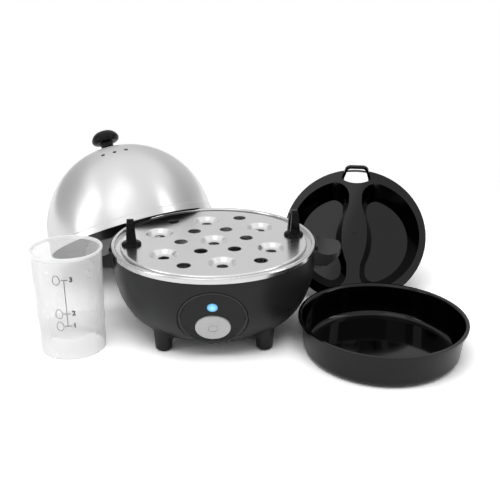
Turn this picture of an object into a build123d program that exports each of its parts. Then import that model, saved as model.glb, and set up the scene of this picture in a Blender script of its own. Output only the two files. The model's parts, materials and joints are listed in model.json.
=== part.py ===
from build123d import *
import os
from math import cos, radians, sin, sqrt

# An electric egg cooker with the loose pieces that come with it, in millimetres.
# The origin is on the floor under the middle of the base. +Z is up, and the control panel faces -Y.

os.makedirs("parts", exist_ok=True)

# Clearances
run_gap = 0.3            # between a piece that moves and what it moves past
fit_gap = 0.1            # between pieces that are put together once
thread_gap = 0.05        # between a screw and the hole that it cuts its thread in
screw_gap = 0.2          # between a screw and a hole that it only passes
past = 1.0               # how far a cut runs past the face that it opens

# Base housing
base_r = 87.5            # widest radius of the plastic housing
base_bottom_z = 9.0      # underside, above the floor
base_flat_r = 52.0       # flat part of the underside
base_wall = 2.5
base_floor = 5.0         # thickness of the floor ring
neck_wall = 1.2
neck_play = 0.2
neck_top_gap = 0.6       # from the top of the neck to the rim above it
lip_w = 4.0              # inner lip that carries the bowl on its seal
lip_h = 2.5

# Steel heating bowl
sheet = 1.0              # thickness of the pressed steel
rim_over = 0.5           # how far the rim stands out past the housing
rim_z = 79.0             # top of the rim
rim_w = 3.5              # width of the rim, seen from above
rim_skirt = 4.7          # height of the band outside
ledge_drop = 3.5         # ledge that carries the rack and the lid, below the rim
ledge_w = 5.5
ledge_bend = 1.5
wall_bend = 0.8
rim_inner_bend = 1.0
rim_bend = 1.2
bowl_depth = 29.0        # floor of the bowl, below the rim
bowl_slope = 19.0        # how much narrower the floor is than the ledge, in radius
bowl_corner = 9.0
seal_h = 1.0
seal_play = 0.4

# Heights on the housing, measured down from the rim
shoulder_drop = 5.0      # shoulder just under the steel rim
widest_drop = 15.0       # where the housing is widest

# Egg rack
rack_play = 4.0          # gap around the rack, inside the rim
rack_rise = 2.5          # top of the plate, above the ledge
rack_sheet = 0.8
rack_edge = 1.2
rack_turn = 8.6          # how far the rack is turned in the base, in degrees
seat_ring_r = 52.25      # six egg seats on this ring, and one in the middle
seat_count = 6
seat_r = 13.6
seat_depth = 4.3
seat_hole_r = 4.75
steam_hole_r = 5.8
inner_holes_r = 28.5
outer_holes_r = 62.5
handle_in = 9.8          # middle of a loop handle, in from the edge of the plate
handle_h = 21.6
handle_w = 12.4
handle_foot = 9.0
handle_top = 5.8
handle_bar = 3.2
slot_w = 6.0
collar_r = 8.5
collar_edge = 1.4
collar_h = 3.4
stub_r = 3.4
stub_tip = 0.8           # how far a handle's stub stands out of its clip
clip_r = 6.0
clip_h = 1.2

# Feet
foot_bearing = 50.1      # compass direction of one foot, in degrees, and the others mirror it
foot_set = 3.1           # from the root of a foot to the housing's outside at that height
foot_r = 7.0
foot_root_r = 8.8
foot_root_z = 26.0
foot_blend = 3.0
foot_edge = 0.8
pad_r = 5.2
pad_h = 3.0
pad_sink = 2.0

# Side ears
ear_l = 22.5             # how far an ear stands out from the housing
ear_half_w = 22.0
ear_corner = 18.0
ear_drop = 0.8           # top of the ear, below the shoulder
ear_rise = 1.0           # how much higher its root is than its tip
ear_dip = 1.8
ear_dip_out = 9.0        # middle of the dip, out from the rim
ear_thick = 4.6
ear_belly = 6.6          # how much deeper the ear is under its dip than at its tip
ear_root_drop = 10.0     # foot of the ear, below the widest place of the housing
ear_round = 9.0          # rise of its underside towards its two sides
ear_lip_h = 4.0          # rise of the ear where it meets the steel rim
ear_lip_w = 1.8
ear_lip_turn = 10.0      # half of the lip's sweep along the rim, in degrees

# Control panel on the front
panel_z = 40.5           # height of its middle
panel_set = 5.0          # its middle lies this far inside the housing's outside
panel_tilt = 18.2        # how far it looks down, in degrees
ring_r = 27.8
ring_wall = 2.4
ring_depth = 4.5
ring_bevel = 1.0
ring_groove = 0.6        # dark groove around the ring
well_floor = 2.0
well_wall = 2.0
panel_sink = 1.0         # panel face, below the ring's face
panel_t = 2.2
button_r = 14.2          # half of its width
button_ry = 12.4         # half of its height
button_drop = 9.4        # middle of the button, below the middle of the panel
button_proud = 1.6       # above the panel
button_edge_r = 0.8
button_wall = 1.6
button_skirt = 3.6
button_travel = 2.0
lug_l = 1.7
lug_w = 4.0
lug_t = 1.0
symbol_r = 3.6
symbol_stroke = 0.7
symbol_depth = 0.4
lens_r = 4.15
lens_rise = 11.9
lens_proud = 0.5
lens_crown = 1.5
lens_collar = 0.9
led_r = 2.5
board_depth = 12.0
board_t = 1.6
board_half_w = 28.6
board_up = 15.0
board_down = 18.0
pillar_x = 26.2
pillar_r = 2.3
board_screw_r = 1.0
board_screw_l = 5.0
board_head_h = 1.1
switch_w = 12.0
switch_h = 4.0
plunger_r = 2.0
plunger_l = 2.9
stem_r = 3.4
spring_wire = 0.5
spring_r = 4.6
spring_turns = 5.0

# Underside
opening_r = 34.0
cover_edge = 3.3         # edge of the cover, out from its screws
cover_t = 2.0
cover_screw_ring_r = 44.4
cover_screw_r = 1.25
cover_head_r = 2.4
cover_head_h = 1.1
cover_screw_l = 4.4
cover_slot_l = 16.0
cover_slot_w = 2.4
cover_slot_count = 8
cross_w = 0.6            # cross in the heads of the screws
cross_depth = 0.5
post_count = 3
post_ring_r = 41.0
post_r = 3.6
post_z = 38.0
bowl_screw_r = 1.5
bowl_head_r = 2.9
bowl_head_h = 1.3
bowl_screw_l = 33.0

# Heater under the bowl
spreader_r = 35.0
spreader_h = 6.0
element_ring_r = 26.0
element_r = 3.2
element_gap = 40.0       # open part of the heater ring, in degrees
pin_drop = 7.0
tab_w = 6.3
tab_t = 0.8
tab_l = 8.0
thermostat_r = 7.5
thermostat_h = 7.5
flange_r = 9.0
flange_h = 1.5
strap_t = 0.8
strap_half_l = 18.0
strap_w = 8.0
strap_screw_x = 15.0
strap_screw_r = 1.2
strap_screw_l = 4.8
strap_head_h = 1.2
fuse_r = 2.0
fuse_l = 14.0
fuse_y = 16.5
fuse_clip_w = 6.0
fuse_clip_reach = 5.9
block_turn = 135.0       # compass direction of the terminal block, in degrees
block_l = 18.0
block_w = 10.0
block_h = 9.0
block_hole_r = 1.6
block_hole_depth = 3.0

# Cord gland at the back, for a lead that isn't part of the model
gland_z = 28.0
gland_r = 5.5
gland_bore_r = 3.3
gland_flange_r = 7.6
gland_flange_t = 1.8
gland_l = 8.0
gland_boss_r = 9.5
gland_boss_h = 1.0
nut_r = 8.2
nut_t = 2.8
nut_gap = 4.4

# Lid, taken off and leaning on the base
lid_play = 0.5           # gap around the lid, inside the rim
lid_sheet = 1.0
lid_band_h = 6.5
lid_step = 0.8
lid_wall_h = 2.0         # straight wall between the band and the dome
lid_tilt = 30.6          # of its axis from the vertical, in degrees
lid_turn = 124.0         # compass direction that the axis leans to, in degrees
lid_bearing = 126.9      # compass direction in which it stands, in degrees
lid_gap = 0.4            # from the lid's edge to the rim that it leans on
floor_gap = 0.1          # from the floor to the lowest edge of a leaning piece
vent_ring_r = 50.4
vent_step = 13.0
vent_middle = 161.0
vent_r = 1.9
knob_head_r = 14.0
knob_head_h = 12.0
knob_neck_r = 6.3
knob_foot_r = 7.4
knob_flare_r = 9.5
knob_flat_r = 1.5
knob_neck_h = 6.0
knob_screw_r = 2.0
knob_screw_l = 10.0
knob_screw_head_h = 1.8
screw_seat = 0.15        # from the dome's curved inside to the flat of the screw's head
washer_r = 7.4
washer_t = 0.8

# Measuring cup
cup_x = -118.5
cup_y = -42.6
cup_h = 88.5
cup_top_r = 28.5
cup_foot_r = 26.5
cup_wall = 1.2
cup_bead = 0.9
cup_bead_h = 2.4
cup_floor_z = 20.0
pin_boss_r = 3.2
pin_boss_l = 5.0
pin_r = 0.6
pin_l = 10.0
pin_point_l = 1.5

# Omelette pan
pan_bearing = -21.9      # compass direction in which it stands, in degrees
pan_gap = 0.7            # from its lip to the housing beside it
pan_h = 30.0
pan_r = 69.6
pan_top_r = 67.2
pan_foot_r = 63.6
pan_wall = 1.2
pan_corner = 6.0
pan_lip_bend = 1.4

# Tray with two compartments, standing on its edge
tray_x = 134.8
tray_y = 75.3
tray_r = 68.5
tray_sheet = 1.2
tray_lean = 38.8         # how far it leans back, in degrees
tray_yaw = -2.0          # how far it is turned about the vertical, in degrees
tray_roll = 6.2          # how far it is turned on its own axis, in degrees
well_depth = 19.2
well_top_r = 62.5
well_foot_r = 54.0
well_taper = 5.5
ridge_waist = 6.2        # half width of the ridge at its two waists
ridge_mid = 12.2         # half width of the ridge in the middle
waist_y = 30.0
waist_blend = 20.0
well_top_y = 57.0        # half length of the wells along the ridge, at their mouth
well_foot_y = 44.0       # and at their floor
well_top_corner = 14.0
well_foot_corner = 9.0
dimple_r = 1.8
dimple_depth = 0.8
grip_half_w = 12.0       # half width of the opening under the grip
grip_low = 54.3
grip_high_r = 66.8
grip_sag = 2.7
grip_foot_x = 13.2
grip_foot_y = 60.0
grip_top_x = 9.4
grip_top_y = 66.0
grip_h = 12.4
grip_bend = 5.0
grip_wire = 2.4
grip_w = 3.0


# Sizes and heights that the pieces share
rim_r = base_r + rim_over
base_widest_z = rim_z - widest_drop
shoulder_z = rim_z - shoulder_drop
ledge_z = rim_z - ledge_drop
bowl_floor_z = rim_z - bowl_depth
rack_r = rim_r - rim_w - rack_play
rack_z = ledge_z + rack_rise
ear_tip = base_r + ear_l
ear_z = shoulder_z - ear_drop
ear_root_z = base_widest_z - ear_root_drop
handle_ring_r = rack_r - handle_in
cover_r = cover_screw_ring_r + cover_edge
lid_r = rim_r - rim_w - lid_play


def housing_r(z):
    """Outside radius of the housing at a height below its widest place."""
    share = (base_widest_z - z) / (base_widest_z - base_bottom_z)
    return base_flat_r + (base_r - base_flat_r) * sqrt(1 - share * share)


def upright(x, y, turn=0.0):
    """Upright plane through a vertical axis at x, y: local x points outward and local y up."""
    a = radians(turn)
    return Plane(origin=(x, y, 0), x_dir=(cos(a), sin(a), 0), z_dir=(sin(a), -cos(a), 0))


def around(ring_radius, angle):
    """Point on a ring about the origin, at an angle in degrees."""
    return (ring_radius * cos(radians(angle)), ring_radius * sin(radians(angle)))


# Heights and radii that follow from the sizes above
panel_y = housing_r(panel_z) - panel_set
foot_ring_r = housing_r(foot_root_z) - foot_root_r - foot_set
foot_x, foot_y = around(foot_ring_r, foot_bearing)
pan_x, pan_y = around(housing_r(pan_h) + pan_gap + pan_r, pan_bearing)
neck_out_r = rim_r - sheet - neck_play
neck_in_r = neck_out_r - neck_wall
neck_z = rim_z - sheet - neck_top_gap
wall_in_r = rim_r - rim_w          # inside of the rim, above the ledge
ledge_r = wall_in_r - ledge_w
bowl_floor_r = ledge_r - bowl_slope
lip_z = ledge_z - sheet - seal_h
lip_r = base_r - base_wall - lip_w
inner_r = base_r - base_wall
floor_z = base_bottom_z + base_floor
recess_z = base_bottom_z + cover_t
bowl_under_z = bowl_floor_z - sheet
spreader_z = bowl_under_z - spreader_h

panel_n = Vector(0, -cos(radians(panel_tilt)), -sin(radians(panel_tilt)))
panel = Plane(origin=(0, -panel_y, panel_z), x_dir=(1, 0, 0), z_dir=panel_n)
panel_side = Plane(origin=panel.origin, x_dir=(1, 0, 0), z_dir=Vector(1, 0, 0).cross(panel_n))
panel_axis = Axis(panel.origin, panel_n)
well_r = ring_r + ring_groove
well_hole_r = ring_r - 1.5 * ring_wall
ring_flange_r = well_hole_r
panel_face = -panel_sink
panel_back = panel_face - panel_t
lens_centre = panel.from_local_coords(Vector(0, lens_rise, 0))
lens_side = Plane(origin=lens_centre, x_dir=(1, 0, 0), z_dir=panel_side.z_dir)
lens_axis = Axis(lens_centre, panel_n)
board_face = -board_depth
board_back = board_face - board_t
switch_face = board_face + switch_h
button_edge = panel_face + button_proud
button_roof = button_edge - button_wall
skirt_end = button_edge - button_skirt - button_wall
stem_end = switch_face + button_travel + run_gap

gland_slope = Vector(
    0,
    (housing_r(gland_z) - base_flat_r) / (base_r - base_flat_r) ** 2,
    (gland_z - base_widest_z) / (base_widest_z - base_bottom_z) ** 2,
)
gland_n = gland_slope.normalized()
gland = Plane(origin=(0, housing_r(gland_z), gland_z), x_dir=(-1, 0, 0), z_dir=gland_n)
gland_side = Plane(origin=gland.origin, x_dir=(-1, 0, 0), z_dir=Vector(-1, 0, 0).cross(gland_n))
gland_axis = Axis(gland.origin, gland_n)

feet = [(x, y) for x in (-foot_x, foot_x) for y in (-foot_y, foot_y)]
posts = [around(post_ring_r, 90 + k * 360 / post_count) for k in range(post_count)]
cover_screws_at = [around(cover_screw_ring_r, 30 + k * 360 / post_count) for k in range(post_count)]


def housing_outside(inset=0.0):
    """Profile of the housing, filled in to the axis, or a smaller one inside it."""
    low = base_bottom_z + inset
    wide = base_r - inset
    neck = neck_out_r - inset
    with BuildSketch(Plane.XZ) as profile:
        with BuildLine():
            Line((0, low), (base_flat_r, low))
            EllipticalCenterArc(
                (base_flat_r, base_widest_z),
                wide - base_flat_r,
                base_widest_z - low,
                start_angle=270,
                arc_size=90,
            )
            Polyline(
                (wide, base_widest_z),
                (wide, shoulder_z - inset),
                (neck, shoulder_z - inset),
                (neck, neck_z),
                (0, neck_z),
                (0, low),
            )
        make_face()
    return profile.sketch


# One side ear: a duck-bill shelf with a dip in its top, and a low lip along the steel rim
with BuildPart() as ear:
    with BuildSketch(Plane.XZ):
        with BuildLine():
            top_start = (rim_r + run_gap, ear_z + ear_rise)
            top_end = (ear_tip, ear_z)
            under_start = (ear_tip, ear_z - ear_thick)
            under_end = (base_r - fit_gap, ear_root_z)
            Line((lip_r, ear_z + ear_rise), top_start)
            ThreePointArc(top_start, (rim_r + ear_dip_out, ear_z - ear_dip), top_end)
            Line(top_end, under_start)
            belly = (rim_r + ear_dip_out, ear_z - ear_thick - ear_belly)
            ThreePointArc(under_start, belly, under_end)
            Polyline(under_end, (lip_r, ear_root_z), (lip_r, ear_z + ear_rise))
        make_face()
    extrude(amount=ear_half_w, both=True)
    with BuildSketch(Plane.XY.offset(ear_root_z)):
        with BuildLine():
            FilletPolyline(
                (0, -ear_half_w),
                (ear_tip, -ear_half_w),
                (ear_tip, ear_half_w),
                (0, ear_half_w),
                radius=ear_corner,
            )
            Line((0, ear_half_w), (0, -ear_half_w))
        make_face()
    extrude(amount=ear_z + ear_lip_h - ear_root_z, mode=Mode.INTERSECT)
    with BuildSketch(Plane.YZ):
        with BuildLine():
            side_y = ear_half_w + past
            ThreePointArc(
                (-side_y, ear_root_z + ear_round),
                (0, ear_root_z - fit_gap),
                (side_y, ear_root_z + ear_round),
            )
            Polyline(
                (side_y, ear_root_z + ear_round),
                (side_y, rim_z),
                (-side_y, rim_z),
                (-side_y, ear_root_z + ear_round),
            )
        make_face()
    extrude(amount=2 * ear_tip, mode=Mode.INTERSECT)
    with BuildSketch(upright(0, 0, -ear_lip_turn)):
        with Locations((rim_r + run_gap + ear_lip_w / 2, ear_z + ear_lip_h / 2)):
            RectangleRounded(ear_lip_w, ear_lip_h, 0.45 * ear_lip_w)
        with Locations((rim_r + run_gap + ear_lip_w / 2, ear_z)):
            Rectangle(ear_lip_w, ear_lip_h / 2)
    revolve(axis=Axis.Z, revolution_arc=2 * ear_lip_turn)
    with BuildSketch(Plane.XY.offset(ear_root_z)):
        Circle(inner_r + base_wall / 5)
    extrude(amount=shoulder_z - ear_root_z, mode=Mode.SUBTRACT)
    with BuildSketch(Plane.XY.offset(shoulder_z)):
        Circle(rim_r + run_gap)
    extrude(amount=ear_lip_h + ear_z, mode=Mode.SUBTRACT)

# Raised well in the housing that holds the control panel, with two pillars behind it for the board
with BuildPart() as panel_well:
    with BuildSketch(panel.offset(-ring_depth - well_floor)):
        Circle(well_r + well_wall)
    extrude(amount=2 * ring_depth + well_floor)
    revolve(housing_outside(base_wall / 2), axis=Axis.Z, mode=Mode.INTERSECT)
    with BuildSketch(panel.offset(board_face)):
        with Locations((-pillar_x, 0), (pillar_x, 0)):
            Circle(pillar_r)
    extrude(amount=board_depth - ring_depth - 0.5 * well_floor)

with BuildPart() as housing:
    revolve(housing_outside(), axis=Axis.Z)
    add(ear.part)
    add(ear.part.rotate(Axis.Z, 180))
    # Feet, blended into the bowl of the housing
    sole = pad_h - pad_sink
    for x, y in feet:
        with BuildSketch(upright(x, y)):
            with BuildLine():
                Polyline(
                    (0, sole),
                    (foot_r - foot_edge, sole),
                    (foot_r, sole + foot_edge),
                    (foot_root_r, foot_root_z),
                    (0, foot_root_z),
                    (0, sole),
                )
            make_face()
        revolve(axis=Axis((x, y, 0), (0, 0, 1)))
        fillet(housing.edges(Select.NEW), radius=foot_blend)
    # Hollow inside, with the lip that carries the bowl
    with BuildSketch(Plane.XZ):
        with BuildLine():
            Line((0, floor_z), (base_flat_r, floor_z))
            EllipticalCenterArc(
                (base_flat_r, base_widest_z),
                inner_r - base_flat_r,
                base_widest_z - floor_z,
                start_angle=270,
                arc_size=90,
            )
            Polyline(
                (inner_r, base_widest_z),
                (inner_r, lip_z - 2 * lip_h),
                (lip_r, lip_z - lip_h),
                (lip_r, lip_z),
                (neck_in_r, lip_z),
                (neck_in_r, neck_z + past),
                (0, neck_z + past),
                (0, floor_z),
            )
        make_face()
    revolve(axis=Axis.Z, mode=Mode.SUBTRACT)
    # Panel well, with its seat for the ring and the hole behind the button
    add(panel_well.part)
    with BuildSketch(panel.offset(-ring_depth)):
        Circle(well_r)
    extrude(amount=4 * ring_depth, mode=Mode.SUBTRACT)
    with BuildSketch(panel.offset(-ring_depth - 2 * well_floor)):
        Circle(well_hole_r)
    extrude(amount=3 * well_floor, mode=Mode.SUBTRACT)
    with BuildSketch(panel.offset(board_face)):
        with Locations((-pillar_x, 0), (pillar_x, 0)):
            Circle(board_screw_r + thread_gap)
    extrude(amount=board_screw_l - board_t + 2 * fit_gap, mode=Mode.SUBTRACT)
    # Opening underneath, with the recess for its cover
    with BuildSketch(Plane.XY.offset(base_bottom_z - past)):
        Circle(opening_r)
    extrude(amount=base_floor + 2 * past, mode=Mode.SUBTRACT)
    with BuildSketch(Plane.XY.offset(base_bottom_z - past)):
        Circle(cover_r + fit_gap)
    extrude(amount=cover_t + past, mode=Mode.SUBTRACT)
    with BuildSketch(Plane.XY.offset(recess_z)):
        with Locations(*cover_screws_at):
            Circle(cover_screw_r + thread_gap)
    extrude(amount=cover_screw_l - cover_t + fit_gap, mode=Mode.SUBTRACT)
    # Three posts that the bowl is screwed to
    with BuildSketch(Plane.XY.offset(floor_z - past)):
        with Locations(*posts):
            Circle(post_r)
    extrude(amount=post_z - floor_z + past)
    with BuildSketch(Plane.XY.offset(recess_z)):
        with Locations(*posts):
            Circle(bowl_screw_r + screw_gap)
    extrude(amount=post_z - recess_z, mode=Mode.SUBTRACT)
    with BuildSketch(Plane.XY.offset(recess_z)):
        with Locations(*posts):
            Circle(bowl_head_r + screw_gap)
    extrude(amount=bowl_head_h + fit_gap, mode=Mode.SUBTRACT)
    # Holes for the pads and the cord gland
    with BuildSketch(Plane.XY):
        with Locations(*feet):
            Circle(pad_r + fit_gap)
    extrude(amount=pad_h, mode=Mode.SUBTRACT)
    with BuildSketch(gland.offset(-nut_gap)):
        Circle(gland_boss_r)
    extrude(amount=nut_gap + gland_boss_h)
    with BuildSketch(gland.offset(-4 * base_wall)):
        Circle(gland_r + fit_gap)
    extrude(amount=8 * base_wall, mode=Mode.SUBTRACT)
housing.part.label = "housing"
export_step(housing.part, "parts/housing.step")

# Rubber pads in the feet
with BuildPart() as foot_pads:
    with BuildSketch(Plane.XY):
        with Locations(*feet):
            Circle(pad_r)
    extrude(amount=pad_h)
foot_pads.part.label = "foot_pads"
export_step(foot_pads.part, "parts/foot_pads.step")

# Cover of the opening underneath, with cooling slots
with BuildPart() as bottom_cover:
    with BuildSketch(Plane.XY.offset(base_bottom_z)):
        Circle(cover_r)
        with PolarLocations(0.56 * opening_r, cover_slot_count):
            SlotOverall(cover_slot_l, cover_slot_w, mode=Mode.SUBTRACT)
    extrude(amount=cover_t)
    with BuildSketch(Plane.XY.offset(base_bottom_z)):
        with Locations(*cover_screws_at):
            Circle(cover_screw_r + screw_gap)
    extrude(amount=cover_t, mode=Mode.SUBTRACT)
    with BuildSketch(Plane.XY.offset(base_bottom_z)):
        with Locations(*cover_screws_at):
            Circle(cover_head_r + screw_gap)
    extrude(amount=cover_head_h, mode=Mode.SUBTRACT)
bottom_cover.part.label = "bottom_cover"
export_step(bottom_cover.part, "parts/bottom_cover.step")

with BuildPart() as cover_screws:
    with BuildSketch(Plane.XY.offset(base_bottom_z)):
        with Locations(*cover_screws_at):
            Circle(cover_head_r)
    extrude(amount=cover_head_h)
    with BuildSketch(Plane.XY.offset(base_bottom_z)):
        with Locations(*cover_screws_at):
            RectangleRounded(0.8 * cover_head_r, cross_w, cross_w / 3)
            RectangleRounded(cross_w, 0.8 * cover_head_r, cross_w / 3)
    extrude(amount=cross_depth, mode=Mode.SUBTRACT)
    with BuildSketch(Plane.XY.offset(base_bottom_z + cover_head_h)):
        with Locations(*cover_screws_at):
            Circle(cover_screw_r)
    extrude(amount=cover_screw_l - cover_head_h)
cover_screws.part.label = "cover_screws"
export_step(cover_screws.part, "parts/cover_screws.step")

# Steel heating bowl, pressed from one sheet: dish, ledge and folded rim
half_sheet = sheet / 2
with BuildPart() as heating_bowl:
    with BuildSketch(Plane.XZ):
        with BuildLine():
            FilletPolyline(
                (0, bowl_floor_z - half_sheet),
                (bowl_floor_r, bowl_floor_z - half_sheet),
                (ledge_r + half_sheet, ledge_z - half_sheet),
                (wall_in_r + half_sheet, ledge_z - half_sheet),
                (wall_in_r + half_sheet, rim_z - half_sheet),
                (rim_r - half_sheet, rim_z - half_sheet),
                (rim_r - half_sheet, rim_z - rim_skirt),
                radius=[bowl_corner, ledge_bend, wall_bend, rim_inner_bend, rim_bend],
            )
        trace(line_width=sheet)
    revolve(axis=Axis.Z)
heating_bowl.part.label = "heating_bowl"
export_step(heating_bowl.part, "parts/heating_bowl.step")

# Silicone seal between the bowl's ledge and the housing's lip
with BuildPart() as bowl_seal:
    with BuildSketch(Plane.XY.offset(lip_z)):
        Circle(inner_r - seal_play)
        Circle(lip_r + seal_play, mode=Mode.SUBTRACT)
    extrude(amount=seal_h)
bowl_seal.part.label = "bowl_seal"
export_step(bowl_seal.part, "parts/bowl_seal.step")

# Threaded spacers welded under the bowl, and the long screws that hold it down
with BuildPart() as bowl_spacers:
    with BuildSketch(Plane.XY.offset(post_z)):
        with Locations(*posts):
            Circle(post_r - screw_gap)
            Circle(bowl_screw_r + thread_gap, mode=Mode.SUBTRACT)
    extrude(amount=bowl_under_z - post_z)
bowl_spacers.part.label = "bowl_spacers"
export_step(bowl_spacers.part, "parts/bowl_spacers.step")

with BuildPart() as bowl_screws:
    with BuildSketch(Plane.XY.offset(recess_z + fit_gap)):
        with Locations(*posts):
            Circle(bowl_head_r)
    extrude(amount=bowl_head_h)
    with BuildSketch(Plane.XY.offset(recess_z + fit_gap + bowl_head_h)):
        with Locations(*posts):
            Circle(bowl_screw_r)
    extrude(amount=bowl_screw_l)
bowl_screws.part.label = "bowl_screws"
export_step(bowl_screws.part, "parts/bowl_screws.step")

# Aluminium heat spreader, with a groove for half of the heating element
pin_angles = [270 - element_gap / 2, 270 + element_gap / 2]
pins = [around(element_ring_r, angle) for angle in pin_angles]
element_start = 270 + element_gap / 2
with BuildPart() as heat_spreader:
    with BuildSketch(Plane.XY.offset(spreader_z)):
        Circle(spreader_r)
    extrude(amount=spreader_h)
    with BuildSketch(Plane.XZ):
        with Locations((element_ring_r, spreader_z)):
            Circle(element_r + fit_gap)
    revolve(axis=Axis.Z, mode=Mode.SUBTRACT)
    with BuildSketch(Plane.XY.offset(spreader_z)):
        with Locations((-strap_screw_x, 0), (strap_screw_x, 0)):
            Circle(strap_screw_r + thread_gap)
    extrude(amount=strap_screw_l - strap_t + screw_gap, mode=Mode.SUBTRACT)
heat_spreader.part.label = "heat_spreader"
export_step(heat_spreader.part, "parts/heat_spreader.step")

with BuildPart() as heating_element:
    with BuildSketch(upright(0, 0, element_start)):
        with Locations((element_ring_r, spreader_z)):
            Circle(element_r)
    revolve(axis=Axis.Z, revolution_arc=360 - element_gap)
    with BuildSketch(Plane.XY.offset(spreader_z - pin_drop)):
        with Locations(*pins):
            Circle(element_r)
    extrude(amount=pin_drop)
    for x, y in pins:
        with Locations((x, y, spreader_z)):
            Sphere(element_r)
heating_element.part.label = "heating_element"
export_step(heating_element.part, "parts/heating_element.step")

with BuildPart() as element_terminals:
    with BuildSketch(Plane.XY.offset(spreader_z - pin_drop)):
        with Locations(*pins):
            Rectangle(tab_w, tab_t)
    extrude(amount=-tab_l)
element_terminals.part.label = "element_terminals"
export_step(element_terminals.part, "parts/element_terminals.step")

# Thermostat, pressed against the spreader by a strap with two screws
with BuildPart() as thermostat:
    with BuildSketch(Plane.XY.offset(spreader_z)):
        Circle(flange_r)
    extrude(amount=-flange_h)
    with BuildSketch(Plane.XY.offset(spreader_z - flange_h)):
        Circle(thermostat_r)
    extrude(amount=-thermostat_h)
    with BuildSketch(Plane.XY.offset(spreader_z - flange_h - thermostat_h)):
        with Locations((-0.5 * thermostat_r, 0), (0.5 * thermostat_r, 0)):
            Rectangle(tab_t, tab_w)
    extrude(amount=-tab_l / 2)
thermostat.part.label = "thermostat"
export_step(thermostat.part, "parts/thermostat.step")

strap_low = spreader_z - flange_h
strap_bend = flange_r + 2.4
with BuildPart() as thermostat_strap:
    with BuildSketch(Plane.XY.offset(strap_low)):
        Circle(flange_r + 1.2)
        Rectangle(2 * strap_bend, strap_w)
        Circle(thermostat_r + fit_gap, mode=Mode.SUBTRACT)
    extrude(amount=-strap_t)
    with BuildSketch(Plane.XY.offset(strap_low - strap_t)):
        with Locations((-strap_bend, 0), (strap_bend, 0)):
            Rectangle(strap_t, strap_w)
    extrude(amount=flange_h + strap_t)
    for side in (-1, 1):
        with BuildSketch(Plane.XY.offset(spreader_z)):
            with Locations((side * (strap_bend + strap_half_l) / 2, 0)):
                Rectangle(strap_half_l - strap_bend, strap_w)
            with Locations((side * strap_screw_x, 0)):
                Circle(strap_screw_r + fit_gap, mode=Mode.SUBTRACT)
        extrude(amount=-strap_t)
thermostat_strap.part.label = "thermostat_strap"
export_step(thermostat_strap.part, "parts/thermostat_strap.step")

with BuildPart() as strap_screws:
    with BuildSketch(Plane.XY.offset(spreader_z - strap_t)):
        with Locations((-strap_screw_x, 0), (strap_screw_x, 0)):
            Circle(2 * strap_screw_r)
    extrude(amount=-strap_head_h)
    with BuildSketch(Plane.XY.offset(spreader_z - strap_t)):
        with Locations((-strap_screw_x, 0), (strap_screw_x, 0)):
            Circle(strap_screw_r)
    extrude(amount=strap_screw_l)
strap_screws.part.label = "strap_screws"
export_step(strap_screws.part, "parts/strap_screws.step")

# Thermal fuse in its clip
fuse_z = spreader_z - fuse_r - fit_gap
with BuildPart() as thermal_fuse:
    with BuildSketch(Plane.YZ.offset(-fuse_l / 2)):
        with Locations((fuse_y, fuse_z)):
            Circle(fuse_r)
    extrude(amount=fuse_l)
thermal_fuse.part.label = "thermal_fuse"
export_step(thermal_fuse.part, "parts/thermal_fuse.step")

with BuildPart() as fuse_clip:
    with BuildSketch(Plane.YZ.offset(-fuse_clip_w / 2)):
        with Locations((fuse_y, fuse_z)):
            Circle(fuse_r + fit_gap + strap_t)
        with Locations((fuse_y, spreader_z - strap_t / 2)):
            Rectangle(2 * fuse_clip_reach, strap_t)
        with Locations((fuse_y, (spreader_z + fuse_z) / 2)):
            Rectangle(2 * (fuse_r + fit_gap + strap_t), spreader_z - fuse_z)
        with Locations((fuse_y, fuse_z)):
            Circle(fuse_r + fit_gap, mode=Mode.SUBTRACT)
        with Locations((fuse_y, fuse_z + fuse_r + 1)):
            Rectangle(2 * (fuse_r + fit_gap), 2 * fuse_r + 2, mode=Mode.SUBTRACT)
        with Locations((fuse_y, spreader_z + 5)):
            Rectangle(20, 10, mode=Mode.SUBTRACT)
    extrude(amount=fuse_clip_w)
fuse_clip.part.label = "fuse_clip"
export_step(fuse_clip.part, "parts/fuse_clip.step")

# Terminal block on the floor ring, where the lead and the wires meet
block_mid = (opening_r + base_flat_r) / 2 + 1.0
block_x, block_y = around(block_mid, block_turn)
block_plane = Plane(
    origin=(block_x, block_y, floor_z),
    x_dir=(-sin(radians(block_turn)), cos(radians(block_turn)), 0),
    z_dir=(0, 0, 1),
)
with BuildPart() as terminal_block:
    with BuildSketch(block_plane):
        Rectangle(block_l, block_w)
    extrude(amount=block_h)
    with BuildSketch(block_plane.offset(block_h)):
        with GridLocations(block_l / 3, 1, 3, 1):
            Circle(block_hole_r)
    extrude(amount=-block_hole_depth, mode=Mode.SUBTRACT)
terminal_block.part.label = "terminal_block"
export_step(terminal_block.part, "parts/terminal_block.step")

# Cord gland and its nut
with BuildPart() as cord_gland:
    with BuildSketch(gland.offset(-gland_l)):
        Circle(gland_r)
    extrude(amount=gland_l + gland_boss_h)
    with BuildSketch(gland.offset(gland_boss_h)):
        Circle(gland_flange_r)
    extrude(amount=gland_flange_t)
    with BuildSketch(gland.offset(-gland_l)):
        Circle(gland_bore_r)
    extrude(amount=gland_l + gland_boss_h + gland_flange_t, mode=Mode.SUBTRACT)
cord_gland.part.label = "cord_gland"
export_step(cord_gland.part, "parts/cord_gland.step")

with BuildPart() as gland_nut:
    with BuildSketch(gland.offset(-nut_gap)):
        RegularPolygon(nut_r, 6)
        Circle(gland_r + thread_gap, mode=Mode.SUBTRACT)
    extrude(amount=-nut_t)
gland_nut.part.label = "gland_nut"
export_step(gland_nut.part, "parts/gland_nut.step")

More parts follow.
